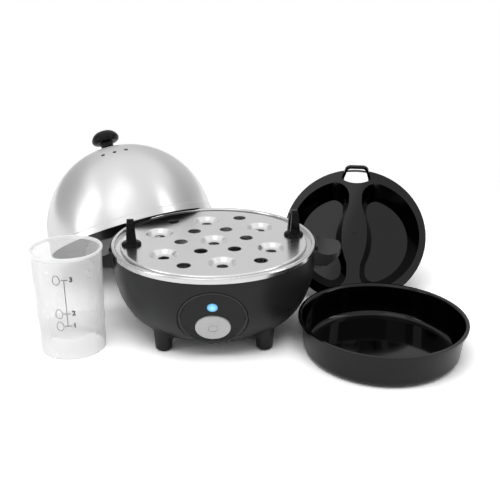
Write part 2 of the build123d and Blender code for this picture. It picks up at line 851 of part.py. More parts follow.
# Ring around the control panel
with BuildPart() as panel_ring:
    with BuildSketch(panel_side):
        with BuildLine():
            FilletPolyline(
                (ring_flange_r, -ring_depth),
                (ring_r, -ring_depth),
                (ring_r, 0),
                (ring_r - ring_wall + ring_bevel, 0),
                (ring_r - ring_wall, panel_face),
                (ring_r - ring_wall, panel_back),
                (ring_flange_r, panel_back),
                radius=[0, 0, 0.6, 0.3, 0, 0, 0],
                close=True,
            )
        make_face()
    revolve(axis=panel_axis)
panel_ring.part.label = "panel_ring"
export_step(panel_ring.part, "parts/panel_ring.step")

panel_r = ring_r - ring_wall - fit_gap
with BuildPart() as control_panel:
    with BuildSketch(panel.offset(panel_back)):
        Circle(panel_r)
        with Locations((0, -button_drop)):
            Ellipse(button_r + run_gap, button_ry + run_gap, mode=Mode.SUBTRACT)
        with Locations((0, lens_rise)):
            Circle(lens_r + fit_gap, mode=Mode.SUBTRACT)
    extrude(amount=panel_t)
control_panel.part.label = "control_panel"
export_step(control_panel.part, "parts/control_panel.step")

# Push button with a stem, two lugs that keep it in, and a sunk power sign
with BuildPart() as power_button:
    with BuildSketch(panel.offset(skirt_end)):
        with Locations((0, -button_drop)):
            Ellipse(button_r, button_ry)
    extrude(amount=button_edge - skirt_end)
    fillet(power_button.faces().sort_by(panel_axis)[-1].edges(), radius=button_edge_r)
    with BuildSketch(panel.offset(skirt_end)):
        with Locations((0, -button_drop)):
            Ellipse(button_r - button_wall, button_ry - button_wall)
            Circle(stem_r, mode=Mode.SUBTRACT)
    extrude(amount=button_roof - skirt_end, mode=Mode.SUBTRACT)
    with BuildSketch(panel.offset(button_roof)):
        with Locations((0, -button_drop)):
            Circle(stem_r)
    extrude(amount=stem_end - button_roof)
    for side in (-1, 1):
        with BuildSketch(panel.offset(panel_back - run_gap)):
            with Locations((side * (button_r + lug_l / 2 - button_wall / 4), -button_drop)):
                Rectangle(lug_l + button_wall / 2, lug_w)
        extrude(amount=-lug_t)
    with BuildSketch(panel.offset(button_edge - symbol_depth)):
        with Locations((0, -button_drop)):
            Circle(symbol_r + symbol_stroke / 2)
            Circle(symbol_r - symbol_stroke / 2, mode=Mode.SUBTRACT)
        with Locations((0, -button_drop + symbol_r)):
            Rectangle(symbol_r, symbol_r, mode=Mode.SUBTRACT)
        with Locations((0, -button_drop + symbol_r)):
            Rectangle(symbol_stroke, symbol_r)
    extrude(amount=symbol_depth + 1, mode=Mode.SUBTRACT)
power_button.part.label = "power_button"
export_step(power_button.part, "parts/power_button.step")

with BuildPart() as switch_plunger:
    with BuildSketch(panel.offset(stem_end)):
        with Locations((0, -button_drop)):
            Circle(plunger_r)
    extrude(amount=-plunger_l)
switch_plunger.part.label = "switch_plunger"
export_step(switch_plunger.part, "parts/switch_plunger.step")

with BuildPart() as switch_body:
    with BuildSketch(panel.offset(board_face)):
        with Locations((0, -button_drop)):
            Rectangle(switch_w, switch_w)
    extrude(amount=switch_h)
    with BuildSketch(panel.offset(switch_face)):
        with Locations((0, -button_drop)):
            Circle(plunger_r + run_gap)
    extrude(amount=-(switch_h - 0.8), mode=Mode.SUBTRACT)
switch_body.part.label = "switch_body"
export_step(switch_body.part, "parts/switch_body.step")

# Return spring between the button's roof and the switch
spring_low = switch_face + spring_wire / 2 + thread_gap
spring_high = button_roof - spring_wire / 2 - thread_gap
spring_base = panel.from_local_coords(Vector(0, -button_drop, spring_low))
with BuildPart() as button_spring:
    with BuildLine():
        coil = Helix(
            pitch=(spring_high - spring_low) / spring_turns,
            height=spring_high - spring_low,
            radius=spring_r,
            center=spring_base,
            direction=panel_n,
        )
    with BuildSketch(Plane(origin=coil @ 0, z_dir=coil % 0)):
        Circle(spring_wire / 2)
    sweep()
button_spring.part.label = "button_spring"
export_step(button_spring.part, "parts/button_spring.step")

# Indicator: a domed lens with a collar behind the panel, and the lamp on the board
lens_edge = panel_face + lens_proud
with BuildPart() as indicator_lens:
    with BuildSketch(lens_side):
        with BuildLine():
            ThreePointArc(
                (0, lens_edge + lens_crown),
                (lens_r * 0.6, lens_edge + lens_crown * 0.72),
                (lens_r, lens_edge),
            )
            Polyline(
                (lens_r, lens_edge),
                (lens_r, panel_back),
                (lens_r + lens_collar, panel_back),
                (lens_r + lens_collar, panel_back - lens_collar),
                (0, panel_back - lens_collar),
                (0, lens_edge + lens_crown),
            )
        make_face()
    revolve(axis=lens_axis)
indicator_lens.part.label = "indicator_lens"
export_step(indicator_lens.part, "parts/indicator_lens.step")

led_tip = panel_back - lens_collar - run_gap
with BuildPart() as indicator_led:
    with BuildSketch(lens_side):
        with BuildLine():
            ThreePointArc(
                (0, led_tip),
                (led_r * sin(radians(45)), led_tip - led_r * (1 - cos(radians(45)))),
                (led_r, led_tip - led_r),
            )
            Polyline(
                (led_r, led_tip - led_r),
                (led_r, board_face + 1.0),
                (led_r + 0.4, board_face + 1.0),
                (led_r + 0.4, board_face),
                (0, board_face),
                (0, led_tip),
            )
        make_face()
    revolve(axis=lens_axis)
indicator_led.part.label = "indicator_led"
export_step(indicator_led.part, "parts/indicator_led.step")

with BuildPart() as circuit_board:
    with BuildSketch(panel.offset(board_back)):
        with Locations((0, (board_up - board_down) / 2)):
            RectangleRounded(2 * board_half_w, board_up + board_down, 2.0)
        with Locations((-pillar_x, 0), (pillar_x, 0)):
            Circle(board_screw_r + screw_gap, mode=Mode.SUBTRACT)
    extrude(amount=board_t)
circuit_board.part.label = "circuit_board"
export_step(circuit_board.part, "parts/circuit_board.step")

with BuildPart() as board_screws:
    with BuildSketch(panel.offset(board_back)):
        with Locations((-pillar_x, 0), (pillar_x, 0)):
            Circle(2 * board_screw_r)
    extrude(amount=-board_head_h)
    with BuildSketch(panel.offset(board_back)):
        with Locations((-pillar_x, 0), (pillar_x, 0)):
            Circle(board_screw_r)
    extrude(amount=board_screw_l)
board_screws.part.label = "board_screws"
export_step(board_screws.part, "parts/board_screws.step")

# Egg rack: a pressed plate with seven egg seats, steam holes and a turned-down edge
plate_mid = rack_z - rack_sheet / 2
rack_foot_z = ledge_z + run_gap
seats = [around(seat_ring_r, rack_turn + 30 + k * 360 / seat_count) for k in range(seat_count)]
seats.append((0, 0))
steam_holes = [around(inner_holes_r, rack_turn + k * 60) for k in range(6)]
steam_holes += [around(outer_holes_r, rack_turn + angle) for angle in (60, 120, 240, 300)]
handles = [around(handle_ring_r, rack_turn + angle) for angle in (180, 0)]
with BuildPart() as egg_rack:
    with BuildSketch(Plane.XZ):
        with BuildLine():
            FilletPolyline(
                (0, plate_mid),
                (rack_r - rack_sheet / 2, plate_mid),
                (rack_r - rack_sheet / 2, rack_foot_z),
                radius=rack_edge,
            )
        trace(line_width=rack_sheet)
    revolve(axis=Axis.Z)
    with BuildSketch(Plane.XY.offset(rack_z - 2)):
        with Locations(*seats):
            Circle(seat_r)
        with Locations(*steam_holes):
            Circle(steam_hole_r)
        with Locations(*handles):
            Circle(stub_r + fit_gap)
    extrude(amount=4, mode=Mode.SUBTRACT)
    for x, y in seats:
        with BuildSketch(upright(x, y)):
            with BuildLine():
                FilletPolyline(
                    (seat_r, plate_mid),
                    (seat_r - 1.6, plate_mid),
                    (seat_r - 5.2, plate_mid - 0.78 * seat_depth),
                    (seat_hole_r, plate_mid - seat_depth + rack_sheet / 2),
                    radius=[1.4, 3.0],
                )
            trace(line_width=rack_sheet)
        revolve(axis=Axis((x, y, 0), (0, 0, 1)))
egg_rack.part.label = "egg_rack"
export_step(egg_rack.part, "parts/egg_rack.step")


def loop_handle(x, y, turn):
    """Loop handle with a collar on the plate and a stub through it."""
    a = radians(turn)
    outward = (cos(a), sin(a), 0)
    along = (-sin(a), cos(a), 0)
    foot = (x, y, rack_z + collar_edge)
    half = handle_w / 2
    top = handle_h
    with BuildPart() as handle:
        with BuildSketch(Plane(origin=foot, x_dir=along, z_dir=outward)):
            with BuildLine():
                Polyline((-half, top - half), (-half, 0), (half, 0), (half, top - half))
                ThreePointArc((half, top - half), (0, top), (-half, top - half))
            make_face()
            with BuildLine():
                Polyline(
                    (-slot_w / 2, top - half),
                    (-slot_w / 2, handle_bar),
                    (slot_w / 2, handle_bar),
                    (slot_w / 2, top - half),
                )
                ThreePointArc(
                    (slot_w / 2, top - half),
                    (0, top - half + slot_w / 2),
                    (-slot_w / 2, top - half),
                )
            make_face(mode=Mode.SUBTRACT)
        extrude(amount=handle_foot, both=True)
        with BuildSketch(Plane(origin=foot, x_dir=outward, z_dir=(sin(a), -cos(a), 0))):
            with BuildLine():
                Polyline(
                    (-handle_foot / 2, 0),
                    (handle_foot / 2, 0),
                    (handle_top / 2, top),
                    (-handle_top / 2, top),
                    close=True,
                )
            make_face()
        extrude(amount=handle_w, both=True, mode=Mode.INTERSECT)
        with BuildSketch(upright(x, y)):
            with BuildLine():
                Polyline((0, rack_z), (collar_r, rack_z), (collar_r, rack_z + collar_edge))
                ThreePointArc(
                    (collar_r, rack_z + collar_edge),
                    (0.82 * collar_r, rack_z + 0.84 * collar_h),
                    (handle_foot / 2, rack_z + collar_h),
                )
                Polyline((handle_foot / 2, rack_z + collar_h), (0, rack_z + collar_h), (0, rack_z))
            make_face()
        revolve(axis=Axis((x, y, 0), (0, 0, 1)))
        with BuildSketch(Plane.XY.offset(rack_z)):
            with Locations((x, y)):
                Circle(stub_r)
        extrude(amount=-(rack_sheet + clip_h + stub_tip))
    return handle.part


left_loop = loop_handle(*handles[0], rack_turn + 180)
with BuildPart() as rack_handle_left:
    add(left_loop)
rack_handle_left.part.label = "rack_handle_left"
export_step(rack_handle_left.part, "parts/rack_handle_left.step")

right_loop = loop_handle(*handles[1], rack_turn)
with BuildPart() as rack_handle_right:
    add(right_loop)
rack_handle_right.part.label = "rack_handle_right"
export_step(rack_handle_right.part, "parts/rack_handle_right.step")

# Push-on clips that hold the handles under the plate
with BuildPart() as rack_handle_clips:
    with BuildSketch(Plane.XY.offset(rack_z - rack_sheet)):
        with Locations(*handles):
            Circle(clip_r)
            Circle(stub_r + thread_gap, mode=Mode.SUBTRACT)
    extrude(amount=-clip_h)
rack_handle_clips.part.label = "rack_handle_clips"
export_step(rack_handle_clips.part, "parts/rack_handle_clips.step")

# Lid: a deep dome with a short straight band, drawn upright and set down leaning, its edge on the floor
tilt = radians(lid_tilt)
lean = radians(lid_turn)
lid_n = Vector(sin(tilt) * cos(lean), sin(tilt) * sin(lean), cos(tilt))
lid_down = Vector(cos(tilt) * cos(lean), cos(tilt) * sin(lean), -sin(tilt))
lid_z = lid_r * sin(tilt) + floor_gap


def lid_centre(distance):
    """Centre of the lid's edge, at a distance from the base's axis."""
    return Vector(*around(distance, lid_bearing), lid_z)


def rim_clearance(distance):
    """Least height of the leaning lid's edge over the rounded edge of the steel rim."""
    edge_r = rim_r - rim_bend * (1 - cos(radians(45)))
    edge_z = rim_z - rim_bend * (1 - sin(radians(45)))
    least = lid_r
    for k in range(1440):
        point = Vector(*around(edge_r, k / 4), edge_z) - lid_centre(distance)
        below = -point.dot(lid_n)
        reach = (point + lid_n * below).length
        if lid_r - lid_sheet <= reach <= lid_r:
            least = min(least, below)
    return least


# The lid is moved out until its edge just clears the rim
near = lid_r
far = rim_r + 2 * lid_r
while far - near > thread_gap / 10:
    middle = (near + far) / 2
    if rim_clearance(middle) < lid_gap:
        near = middle
    else:
        far = middle
lid_plane = Plane(origin=lid_centre(far), x_dir=lid_down, z_dir=lid_n)
print("lid stands", round(far, 2), "from the axis, at", lid_plane.origin)
dome_r = lid_r - lid_step
dome_z = lid_band_h + lid_wall_h
lid_top = dome_z + dome_r
dome_in_r = dome_r - lid_sheet
with BuildPart() as upright_dome:
    with BuildSketch(Plane.XZ):
        with BuildLine():
            Polyline(
                (lid_r - lid_sheet, 0),
                (lid_r, 0),
                (lid_r, lid_band_h - lid_step),
                (dome_r, lid_band_h),
                (dome_r, dome_z),
            )
            CenterArc((0, dome_z), dome_r, 0, 90)
            Line((0, lid_top), (0, lid_top - lid_sheet))
            CenterArc((0, dome_z), dome_in_r, 0, 90)
            Polyline(
                (dome_in_r, dome_z),
                (dome_in_r, lid_band_h),
                (lid_r - lid_sheet, lid_band_h - lid_step),
                (lid_r - lid_sheet, 0),
            )
        make_face()
    revolve(axis=Axis.Z)
    with BuildSketch(Plane.XY.offset(lid_top / 2)):
        Circle(knob_screw_r + fit_gap)
        for k in (-1, 0, 1):
            with Locations(around(vent_ring_r, vent_middle + k * vent_step)):
                Circle(vent_r)
    extrude(amount=lid_top, mode=Mode.SUBTRACT)

with BuildPart(lid_plane) as lid_dome:
    add(upright_dome.part)
lid_dome.part.label = "lid_dome"
export_step(lid_dome.part, "parts/lid_dome.step")

with BuildPart() as knob_washer:
    with BuildSketch(lid_plane.offset(lid_top)):
        Circle(washer_r)
        Circle(knob_screw_r + fit_gap, mode=Mode.SUBTRACT)
    extrude(amount=washer_t)
knob_washer.part.label = "knob_washer"
export_step(knob_washer.part, "parts/knob_washer.step")

knob_low = lid_top + washer_t
neck_top = knob_low + knob_neck_h
knob_wide = neck_top + 0.36 * knob_head_h
knob_top = neck_top + knob_head_h
with BuildPart() as upright_knob:
    with BuildSketch(Plane.XZ):
        with BuildLine():
            Line((0, knob_low), (knob_foot_r, knob_low))
            ThreePointArc(
                (knob_foot_r, knob_low),
                (knob_neck_r, knob_low + knob_neck_h / 2),
                (knob_flare_r, neck_top),
            )
            ThreePointArc(
                (knob_flare_r, neck_top),
                (0.93 * knob_head_r, (neck_top + knob_wide) / 2 - 0.6),
                (knob_head_r, knob_wide),
            )
            ThreePointArc(
                (knob_head_r, knob_wide),
                (0.76 * knob_head_r, knob_wide + 0.72 * (knob_top - knob_wide)),
                (knob_flat_r, knob_top),
            )
            Polyline((knob_flat_r, knob_top), (0, knob_top), (0, knob_low))
        make_face()
    revolve(axis=Axis.Z)
    with BuildSketch(Plane.XY.offset(knob_low)):
        Circle(knob_screw_r + thread_gap)
    extrude(amount=knob_screw_l, mode=Mode.SUBTRACT)

with BuildPart(lid_plane) as lid_knob:
    add(upright_knob.part)
lid_knob.part.label = "lid_knob"
export_step(lid_knob.part, "parts/lid_knob.step")

with BuildPart() as knob_screw:
    with BuildSketch(lid_plane.offset(lid_top - lid_sheet - screw_seat)):
        Circle(2.1 * knob_screw_r)
    extrude(amount=-knob_screw_head_h)
    with BuildSketch(lid_plane.offset(lid_top - lid_sheet - screw_seat)):
        Circle(knob_screw_r)
    extrude(amount=knob_screw_l)
knob_screw.part.label = "knob_screw"
export_step(knob_screw.part, "parts/knob_screw.step")

# Measuring cup with a raised floor and a piercing pin under it
cup_side = upright(cup_x, cup_y)
cup_axis = Axis((cup_x, cup_y, 0), (0, 0, 1))
cup_lip_z = cup_h - cup_bead_h
with BuildPart() as measuring_cup:
    with BuildSketch(cup_side):
        with BuildLine():
            FilletPolyline(
                (cup_foot_r - cup_wall, 0),
                (cup_foot_r, 0),
                (cup_top_r, cup_lip_z),
                (cup_top_r + cup_bead, cup_lip_z),
                (cup_top_r + cup_bead, cup_h),
                (cup_top_r - cup_wall, cup_h),
                radius=[0, 0, 0.2, 0.8, 0.4, 0.4],
                close=True,
            )
        make_face()
    revolve(axis=cup_axis)
    with BuildSketch(Plane.XY.offset(cup_floor_z - cup_wall)):
        with Locations((cup_x, cup_y)):
            Circle(cup_foot_r - cup_wall / 2)
    extrude(amount=cup_wall)
    with BuildSketch(Plane.XY.offset(cup_floor_z - cup_wall)):
        with Locations((cup_x, cup_y)):
            Circle(pin_boss_r)
            Circle(pin_r + thread_gap, mode=Mode.SUBTRACT)
    extrude(amount=-pin_boss_l)
measuring_cup.part.label = "measuring_cup"
export_step(measuring_cup.part, "parts/measuring_cup.step")

pin_top = cup_floor_z - cup_wall
with BuildPart() as piercing_pin:
    with BuildSketch(Plane.XY.offset(pin_top)):
        with Locations((cup_x, cup_y)):
            Circle(pin_r)
    extrude(amount=-(pin_l - pin_point_l))
    with BuildSketch(Plane.XY.offset(pin_top - pin_l + pin_point_l)):
        with Locations((cup_x, cup_y)):
            Circle(pin_r)
    extrude(amount=-pin_point_l, taper=20)
piercing_pin.part.label = "piercing_pin"
export_step(piercing_pin.part, "parts/piercing_pin.step")

# Omelette pan: a round pan with sloping walls and a flat lip
half_wall = pan_wall / 2
with BuildPart() as omelette_pan:
    with BuildSketch(upright(pan_x, pan_y)):
        with BuildLine():
            FilletPolyline(
                (0, half_wall),
                (pan_foot_r, half_wall),
                (pan_top_r - half_wall, pan_h - half_wall),
                (pan_r, pan_h - half_wall),
                radius=[pan_corner, pan_lip_bend],
            )
        trace(line_width=pan_wall)
    revolve(axis=Axis((pan_x, pan_y, 0), (0, 0, 1)))
omelette_pan.part.label = "omelette_pan"
export_step(omelette_pan.part, "parts/omelette_pan.step")

# Tray with two wells, standing on its rim and on the corner of its wells
back = radians(tray_lean)
yaw = radians(tray_yaw)
tray_n = Vector(sin(yaw) * cos(back), -cos(yaw) * cos(back), sin(back))
rim_reach = tray_r * cos(back) + tray_sheet * sin(back)
well_reach = well_foot_r * cos(back) + well_depth * sin(back)
tray_z = max(rim_reach, well_reach) + floor_gap
tray = Plane(origin=(tray_x, tray_y, tray_z), x_dir=(cos(yaw), sin(yaw), 0), z_dir=tray_n)
tray = tray.rotated((0, 0, -tray_roll))


def well_outline(height, outer, tip, corner, taper, side):
    """Kidney outline of one well at a height in the tray: a rim arc and the waisted ridge."""
    waist = side * (ridge_waist + taper)
    middle = side * (ridge_mid + taper)
    bend_y = waist_y * outer / well_top_r
    with BuildSketch(tray.offset(height)) as outline:
        with BuildLine():
            Line((waist, -tip), (waist, -bend_y))
            ThreePointArc((waist, -bend_y), (middle, 0), (waist, bend_y))
            Line((waist, bend_y), (waist, tip))
            ThreePointArc((waist, tip), (side * outer, 0), (waist, -tip))
        make_face()
        ends = outline.vertices().sort_by(Axis.Y)
        fillet([ends[0], ends[-1]], radius=corner)
        bends = outline.vertices().filter_by_position(Axis.Y, -bend_y - 0.1, bend_y + 0.1)
        fillet(bends, radius=waist_blend)
    return outline.sketch


with BuildPart() as poaching_tray:
    with BuildSketch(tray.offset(-tray_sheet)):
        Circle(tray_r)
    extrude(amount=tray_sheet)
    for side in (-1, 1):
        mouth = well_outline(
            -tray_sheet / 2,
            well_top_r + tray_sheet,
            well_top_y + tray_sheet,
            well_top_corner + tray_sheet,
            -tray_sheet,
            side,
        )
        foot = well_outline(
            -well_depth,
            well_foot_r,
            well_foot_y + tray_sheet,
            well_foot_corner + tray_sheet,
            well_taper - tray_sheet,
            side,
        )
        loft([mouth, foot])
    for side in (-1, 1):
        mouth = well_outline(0.2, well_top_r, well_top_y, well_top_corner, 0, side)
        foot = well_outline(
            -well_depth + tray_sheet,
            well_foot_r - tray_sheet,
            well_foot_y,
            well_foot_corner,
            well_taper,
            side,
        )
        loft([mouth, foot], mode=Mode.SUBTRACT)
    # Opening near the top edge with a loop over it, and the dimple in the middle
    with BuildSketch(tray.offset(-2 * tray_sheet)):
        with BuildLine():
            grip_side_x = grip_half_w - 1
            grip_side_y = sqrt(grip_high_r * grip_high_r - grip_side_x * grip_side_x)
            ThreePointArc(
                (-grip_half_w, grip_low + grip_sag),
                (0, grip_low),
                (grip_half_w, grip_low + grip_sag),
            )
            Line((grip_half_w, grip_low + grip_sag), (grip_side_x, grip_side_y))
            ThreePointArc((grip_side_x, grip_side_y), (0, grip_high_r), (-grip_side_x, grip_side_y))
            Line((-grip_side_x, grip_side_y), (-grip_half_w, grip_low + grip_sag))
        make_face()
    extrude(amount=4 * tray_sheet, mode=Mode.SUBTRACT)
    with BuildSketch(tray):
        Circle(dimple_r)
    extrude(amount=-dimple_depth, mode=Mode.SUBTRACT)
    grip_foot = tray.from_local_coords(Vector(0, grip_foot_y, -tray_sheet / 2))
    grip_top = tray.from_local_coords(Vector(0, grip_top_y, grip_h))
    grip_up = (grip_top - grip_foot).normalized()
    with BuildSketch(Plane(origin=grip_foot, x_dir=tray.x_dir, z_dir=tray.x_dir.cross(grip_up))):
        with BuildLine():
            rise = (grip_top - grip_foot).length
            FilletPolyline(
                (-grip_foot_x, 0),
                (-grip_top_x, rise),
                (grip_top_x, rise),
                (grip_foot_x, 0),
                radius=grip_bend,
            )
        trace(line_width=grip_wire)
    extrude(amount=grip_w / 2, both=True)
poaching_tray.part.label = "poaching_tray"
export_step(poaching_tray.part, "parts/poaching_tray.step")
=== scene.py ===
# %% [markdown]
# # An electric egg cooker and its loose pieces
# The real object is a small kitchen appliance, set out with all that comes with it: a black base with a
# steel bowl and an egg rack, a brushed steel lid that leans behind it, a milky measuring cup, a black
# omelette pan and a black poaching tray.
#
# Its solids come ready made from the imported model, at their real size, so no solid is moved or reshaped
# here. What is left to do is what the eye judges: the finish of each surface, the printed scale on the
# cup, the light, the floor and the camera. The spring behind the button, which would have to shorten as
# the button goes in, is only given a mesh of its own.

# %% Load the imported model as a fixed frame
import json
from math import cos, pi, radians, sin

import bmesh
import bpy
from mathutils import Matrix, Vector


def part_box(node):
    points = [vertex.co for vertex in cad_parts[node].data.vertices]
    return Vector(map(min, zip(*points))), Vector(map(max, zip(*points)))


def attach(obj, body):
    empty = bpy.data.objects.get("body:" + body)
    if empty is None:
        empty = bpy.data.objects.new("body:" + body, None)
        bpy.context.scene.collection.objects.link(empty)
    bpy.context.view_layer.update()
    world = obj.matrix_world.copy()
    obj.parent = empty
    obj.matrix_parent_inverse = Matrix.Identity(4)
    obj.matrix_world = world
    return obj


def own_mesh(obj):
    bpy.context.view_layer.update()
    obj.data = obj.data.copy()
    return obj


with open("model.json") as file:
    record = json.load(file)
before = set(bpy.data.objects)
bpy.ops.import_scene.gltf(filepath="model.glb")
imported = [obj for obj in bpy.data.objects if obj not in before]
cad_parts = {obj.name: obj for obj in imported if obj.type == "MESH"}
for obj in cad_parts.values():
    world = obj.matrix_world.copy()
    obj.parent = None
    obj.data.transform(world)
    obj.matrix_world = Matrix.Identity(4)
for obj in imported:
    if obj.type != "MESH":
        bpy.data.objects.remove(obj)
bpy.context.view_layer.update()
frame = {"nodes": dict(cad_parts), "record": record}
nodes = frame["nodes"]

# %% [markdown]
# ## The camera
# The camera comes first, because every later choice is judged through it. The picture looks down at the
# set by about twenty degrees, from some seventy centimetres away. A camera can be aimed at a target
# with a constraint, but a plain place and two angles are easier to check and to correct. Its lens is
# easiest to set from the width of the view, so the focal length in pixels is turned into millimetres on
# Blender's sensor.

# %% Camera
PHOTO_SIDE = 500
FOCAL_PIXELS = 754.5
SENSOR_MM = 36.0
CAMERA_PLACE = (0.0163, -0.6136, 0.3060)
CAMERA_TILT = 68.82
CAMERA_TURN = -1.4
FAR_CLIP = 50.0

camera_data = bpy.data.cameras.new("studio_camera")
camera_data.sensor_width = SENSOR_MM
camera_data.lens = SENSOR_MM * FOCAL_PIXELS / PHOTO_SIDE
camera_data.clip_end = FAR_CLIP
camera = bpy.data.objects.new("studio_camera", camera_data)
camera.location = CAMERA_PLACE
camera.rotation_euler = (radians(CAMERA_TILT), 0, radians(CAMERA_TURN))
scene = bpy.context.scene
scene.collection.objects.link(camera)
scene.camera = camera
scene.view_settings.view_transform = "Standard"
print("lens in mm:", round(camera_data.lens, 2))

# %% [markdown]
# ## Small helpers for shader nodes
# A procedural material is a graph of nodes. Written out in full, each node takes four or five lines:
# make it, choose its operation, fill its inputs and link its output. A few helpers take that up. One
# adds a node of any kind, two do arithmetic, and two spread a value over a range. An input can be a
# plain value or the output of another node, so a graph can be written almost like a formula.


# %% Helpers that add a node
def add_node(tree, kind, inputs=None, **settings):
    """Adds a shader node. Each input is a plain value or another node's output."""
    node = tree.nodes.new(kind)
    for name, value in settings.items():
        setattr(node, name, value)
    for key, value in (inputs or {}).items():
        if isinstance(value, bpy.types.NodeSocket):
            tree.links.new(value, node.inputs[key])
        else:
            node.inputs[key].default_value = value
    return node


def number(tree, operation, *values):
    """One step of arithmetic on numbers, and its result."""
    return add_node(tree, "ShaderNodeMath", dict(enumerate(values)), operation=operation).outputs[0]


def vector(tree, operation, *values):
    """One step of arithmetic on vectors. A dot product or a length is a number, in the second output."""
    node = add_node(tree, "ShaderNodeVectorMath", dict(enumerate(values)), operation=operation)
    return node.outputs["Value" if operation in ("DOT_PRODUCT", "LENGTH") else "Vector"]


def ramp(tree, value, start, end, low, high):
    """A level that runs from low to high as the value runs from start to end, and stays there."""
    sockets = {"Value": value, "From Min": start, "From Max": end, "To Min": low, "To Max": high}
    return add_node(tree, "ShaderNodeMapRange", sockets).outputs["Result"]


def between(tree, value, low, high):
    """Spreads a value that runs from 0 to 1 over the range from low to high."""
    return ramp(tree, value, 0.0, 1.0, low, high)


print("node helpers ready: add_node, number, vector, ramp, between")

# %% [markdown]
# ## Helpers that every finish shares
# Each finish below starts in the same way and is built of the same few things: a little noise, two
# shades of one colour to blend between, and a bump. Noise is read from the piece's own coordinates, not
# from the world's, so the grain stays on the piece when it moves. Lengths are real, so a scale is in
# bumps to the metre and a bump's depth is in metres.


# %% Helpers for noise, colours and bumps
def start_material(name):
    """A new material, with its tree, its main shader and the coordinates that stay on the piece."""
    material = bpy.data.materials.new(name)
    material.use_nodes = True
    tree = material.node_tree
    shader = tree.nodes["Principled BSDF"]
    place = tree.nodes.new("ShaderNodeTexCoord").outputs["Object"]
    return material, tree, shader, place


def grain(tree, place, scale, detail=3.0, roughness=0.5):
    """Noise between 0 and 1. Its scale is in bumps to the metre."""
    sockets = {"Vector": place, "Scale": scale, "Detail": detail, "Roughness": roughness}
    return add_node(tree, "ShaderNodeTexNoise", sockets).outputs[0]


def weigh(tree, first, second, share):
    """Adds two values: the first counts for its share and the second for the rest."""
    part = number(tree, "MULTIPLY", first, share)
    rest = number(tree, "MULTIPLY", second, 1 - share)
    return number(tree, "ADD", part, rest)


def blend_colours(tree, factor, first, second):
    """Mixes two colours, each a colour or an output. The node takes colours in its inputs 6 and 7."""
    sockets = {0: factor, 6: first, 7: second}
    return add_node(tree, "ShaderNodeMix", sockets, data_type="RGBA").outputs[2]


def grey(level):
    """A grey colour."""
    return (level, level, level, 1.0)


def tint(colour, factor):
    """A colour made darker or lighter."""
    return [min(1.0, channel * factor) for channel in colour[:3]] + [1.0]


def add_bump(tree, shader, height, strength, depth):
    """Raises the surface where the height is greater. The depth is in metres."""
    sockets = {"Height": height, "Strength": strength, "Distance": depth}
    tree.links.new(add_node(tree, "ShaderNodeBump", sockets).outputs[0], shader.inputs["Normal"])


print("finish helpers ready: start_material, grain, weigh, blend_colours, grey, tint, add_bump")

# %% [markdown]
# ## Moulded plastic
# Moulded plastic is never one flat colour. The tool leaves a fine grain, and the gloss changes a little
# from place to place, where the plastic flowed and where hands have been. A painted image could hold
# that, but it would blur up close. Noise at two sizes is sharp at any distance: a broad one for the
# colour, a fine one for the bump, and both together for the roughness.

# %% Plastic finish
CLOUDS_PER_METRE = 18.0
CLOUD_SHARE = 0.6
GLOSS_DRIFT = 0.15
PLASTIC_BUMP = 0.35


def plastic(name, colour, roughness, grain_mm=0.35, depth_mm=0.004, drift=0.25, gloss=0.5):
    """Moulded plastic, with the size and depth of its grain in millimetres."""
    material, tree, shader, place = start_material(name)
    broad = grain(tree, place, CLOUDS_PER_METRE, 2.0)
    fine = grain(tree, place, 1000.0 / grain_mm, 2.0, 0.6)
    mottled = blend_colours(tree, broad, tint(colour, 1 - drift), tint(colour, 1 + drift))
    tree.links.new(mottled, shader.inputs["Base Color"])
    spread = weigh(tree, broad, fine, CLOUD_SHARE)
    smooth, rough = roughness * (1 - GLOSS_DRIFT), roughness * (1 + GLOSS_DRIFT)
    tree.links.new(between(tree, spread, smooth, rough), shader.inputs["Roughness"])
    add_bump(tree, shader, fine, PLASTIC_BUMP, depth_mm / 1000)
    shader.inputs["Specular IOR Level"].default_value = gloss
    return material


print("the gloss of plastic drifts by a share of", GLOSS_DRIFT)

# %% [markdown]
# ## The black plastics
# Nearly everything that isn't steel is black, so the pieces differ by their gloss alone. The body is
# satin with a fine grain, the plate on its front is a little smoother, and the ring round it is
# polished. The pan and the tray have a hard, deep gloss, the loop handles too, and the lid's knob lies
# between. Levels this low keep the black deep, and what the eye sees of it is mostly the room that it
# mirrors.

# %% Black finishes
body_plastic = plastic("body_black_plastic", (0.012, 0.012, 0.013), 0.34, depth_mm=0.012, gloss=0.30)
panel_plastic = plastic("panel_black_plastic", (0.010, 0.010, 0.011), 0.24, grain_mm=0.5, gloss=0.26)
ring_plastic = plastic("ring_gloss_plastic", (0.007, 0.007, 0.008), 0.10, grain_mm=0.8, depth_mm=0.002)
handle_plastic = plastic(
    "handle_gloss_plastic", grey(0.002), 0.10, grain_mm=1.2, depth_mm=0.004, gloss=0.12
)
knob_plastic = plastic("knob_satin_plastic", grey(0.003), 0.26, grain_mm=0.4, depth_mm=0.008, gloss=0.2)
pan_plastic = plastic("pan_gloss_coating", grey(0.0005), 0.08, grain_mm=2.2, depth_mm=0.002, gloss=0.38)
pad_rubber = plastic("pad_black_rubber", grey(0.016), 0.75, grain_mm=0.6, depth_mm=0.02, gloss=0.3)
switch_plastic = plastic("switch_black_plastic", grey(0.03), 0.45)
blacks = (body_plastic, panel_plastic, ring_plastic, handle_plastic, knob_plastic, pan_plastic)
print("black finishes in sight:", [m.name for m in blacks])

# %% [markdown]
# ## The other plastics
# The button looks silver, but it is light grey plastic with a faint grain, so it isn't made as metal.
# The rest is inside and shows only when a cover is off: a grey silicone seal, a pale nylon terminal
# block, a ceramic thermostat and a green board. They are finished all the same, because each solid can
# be used and seen by itself.

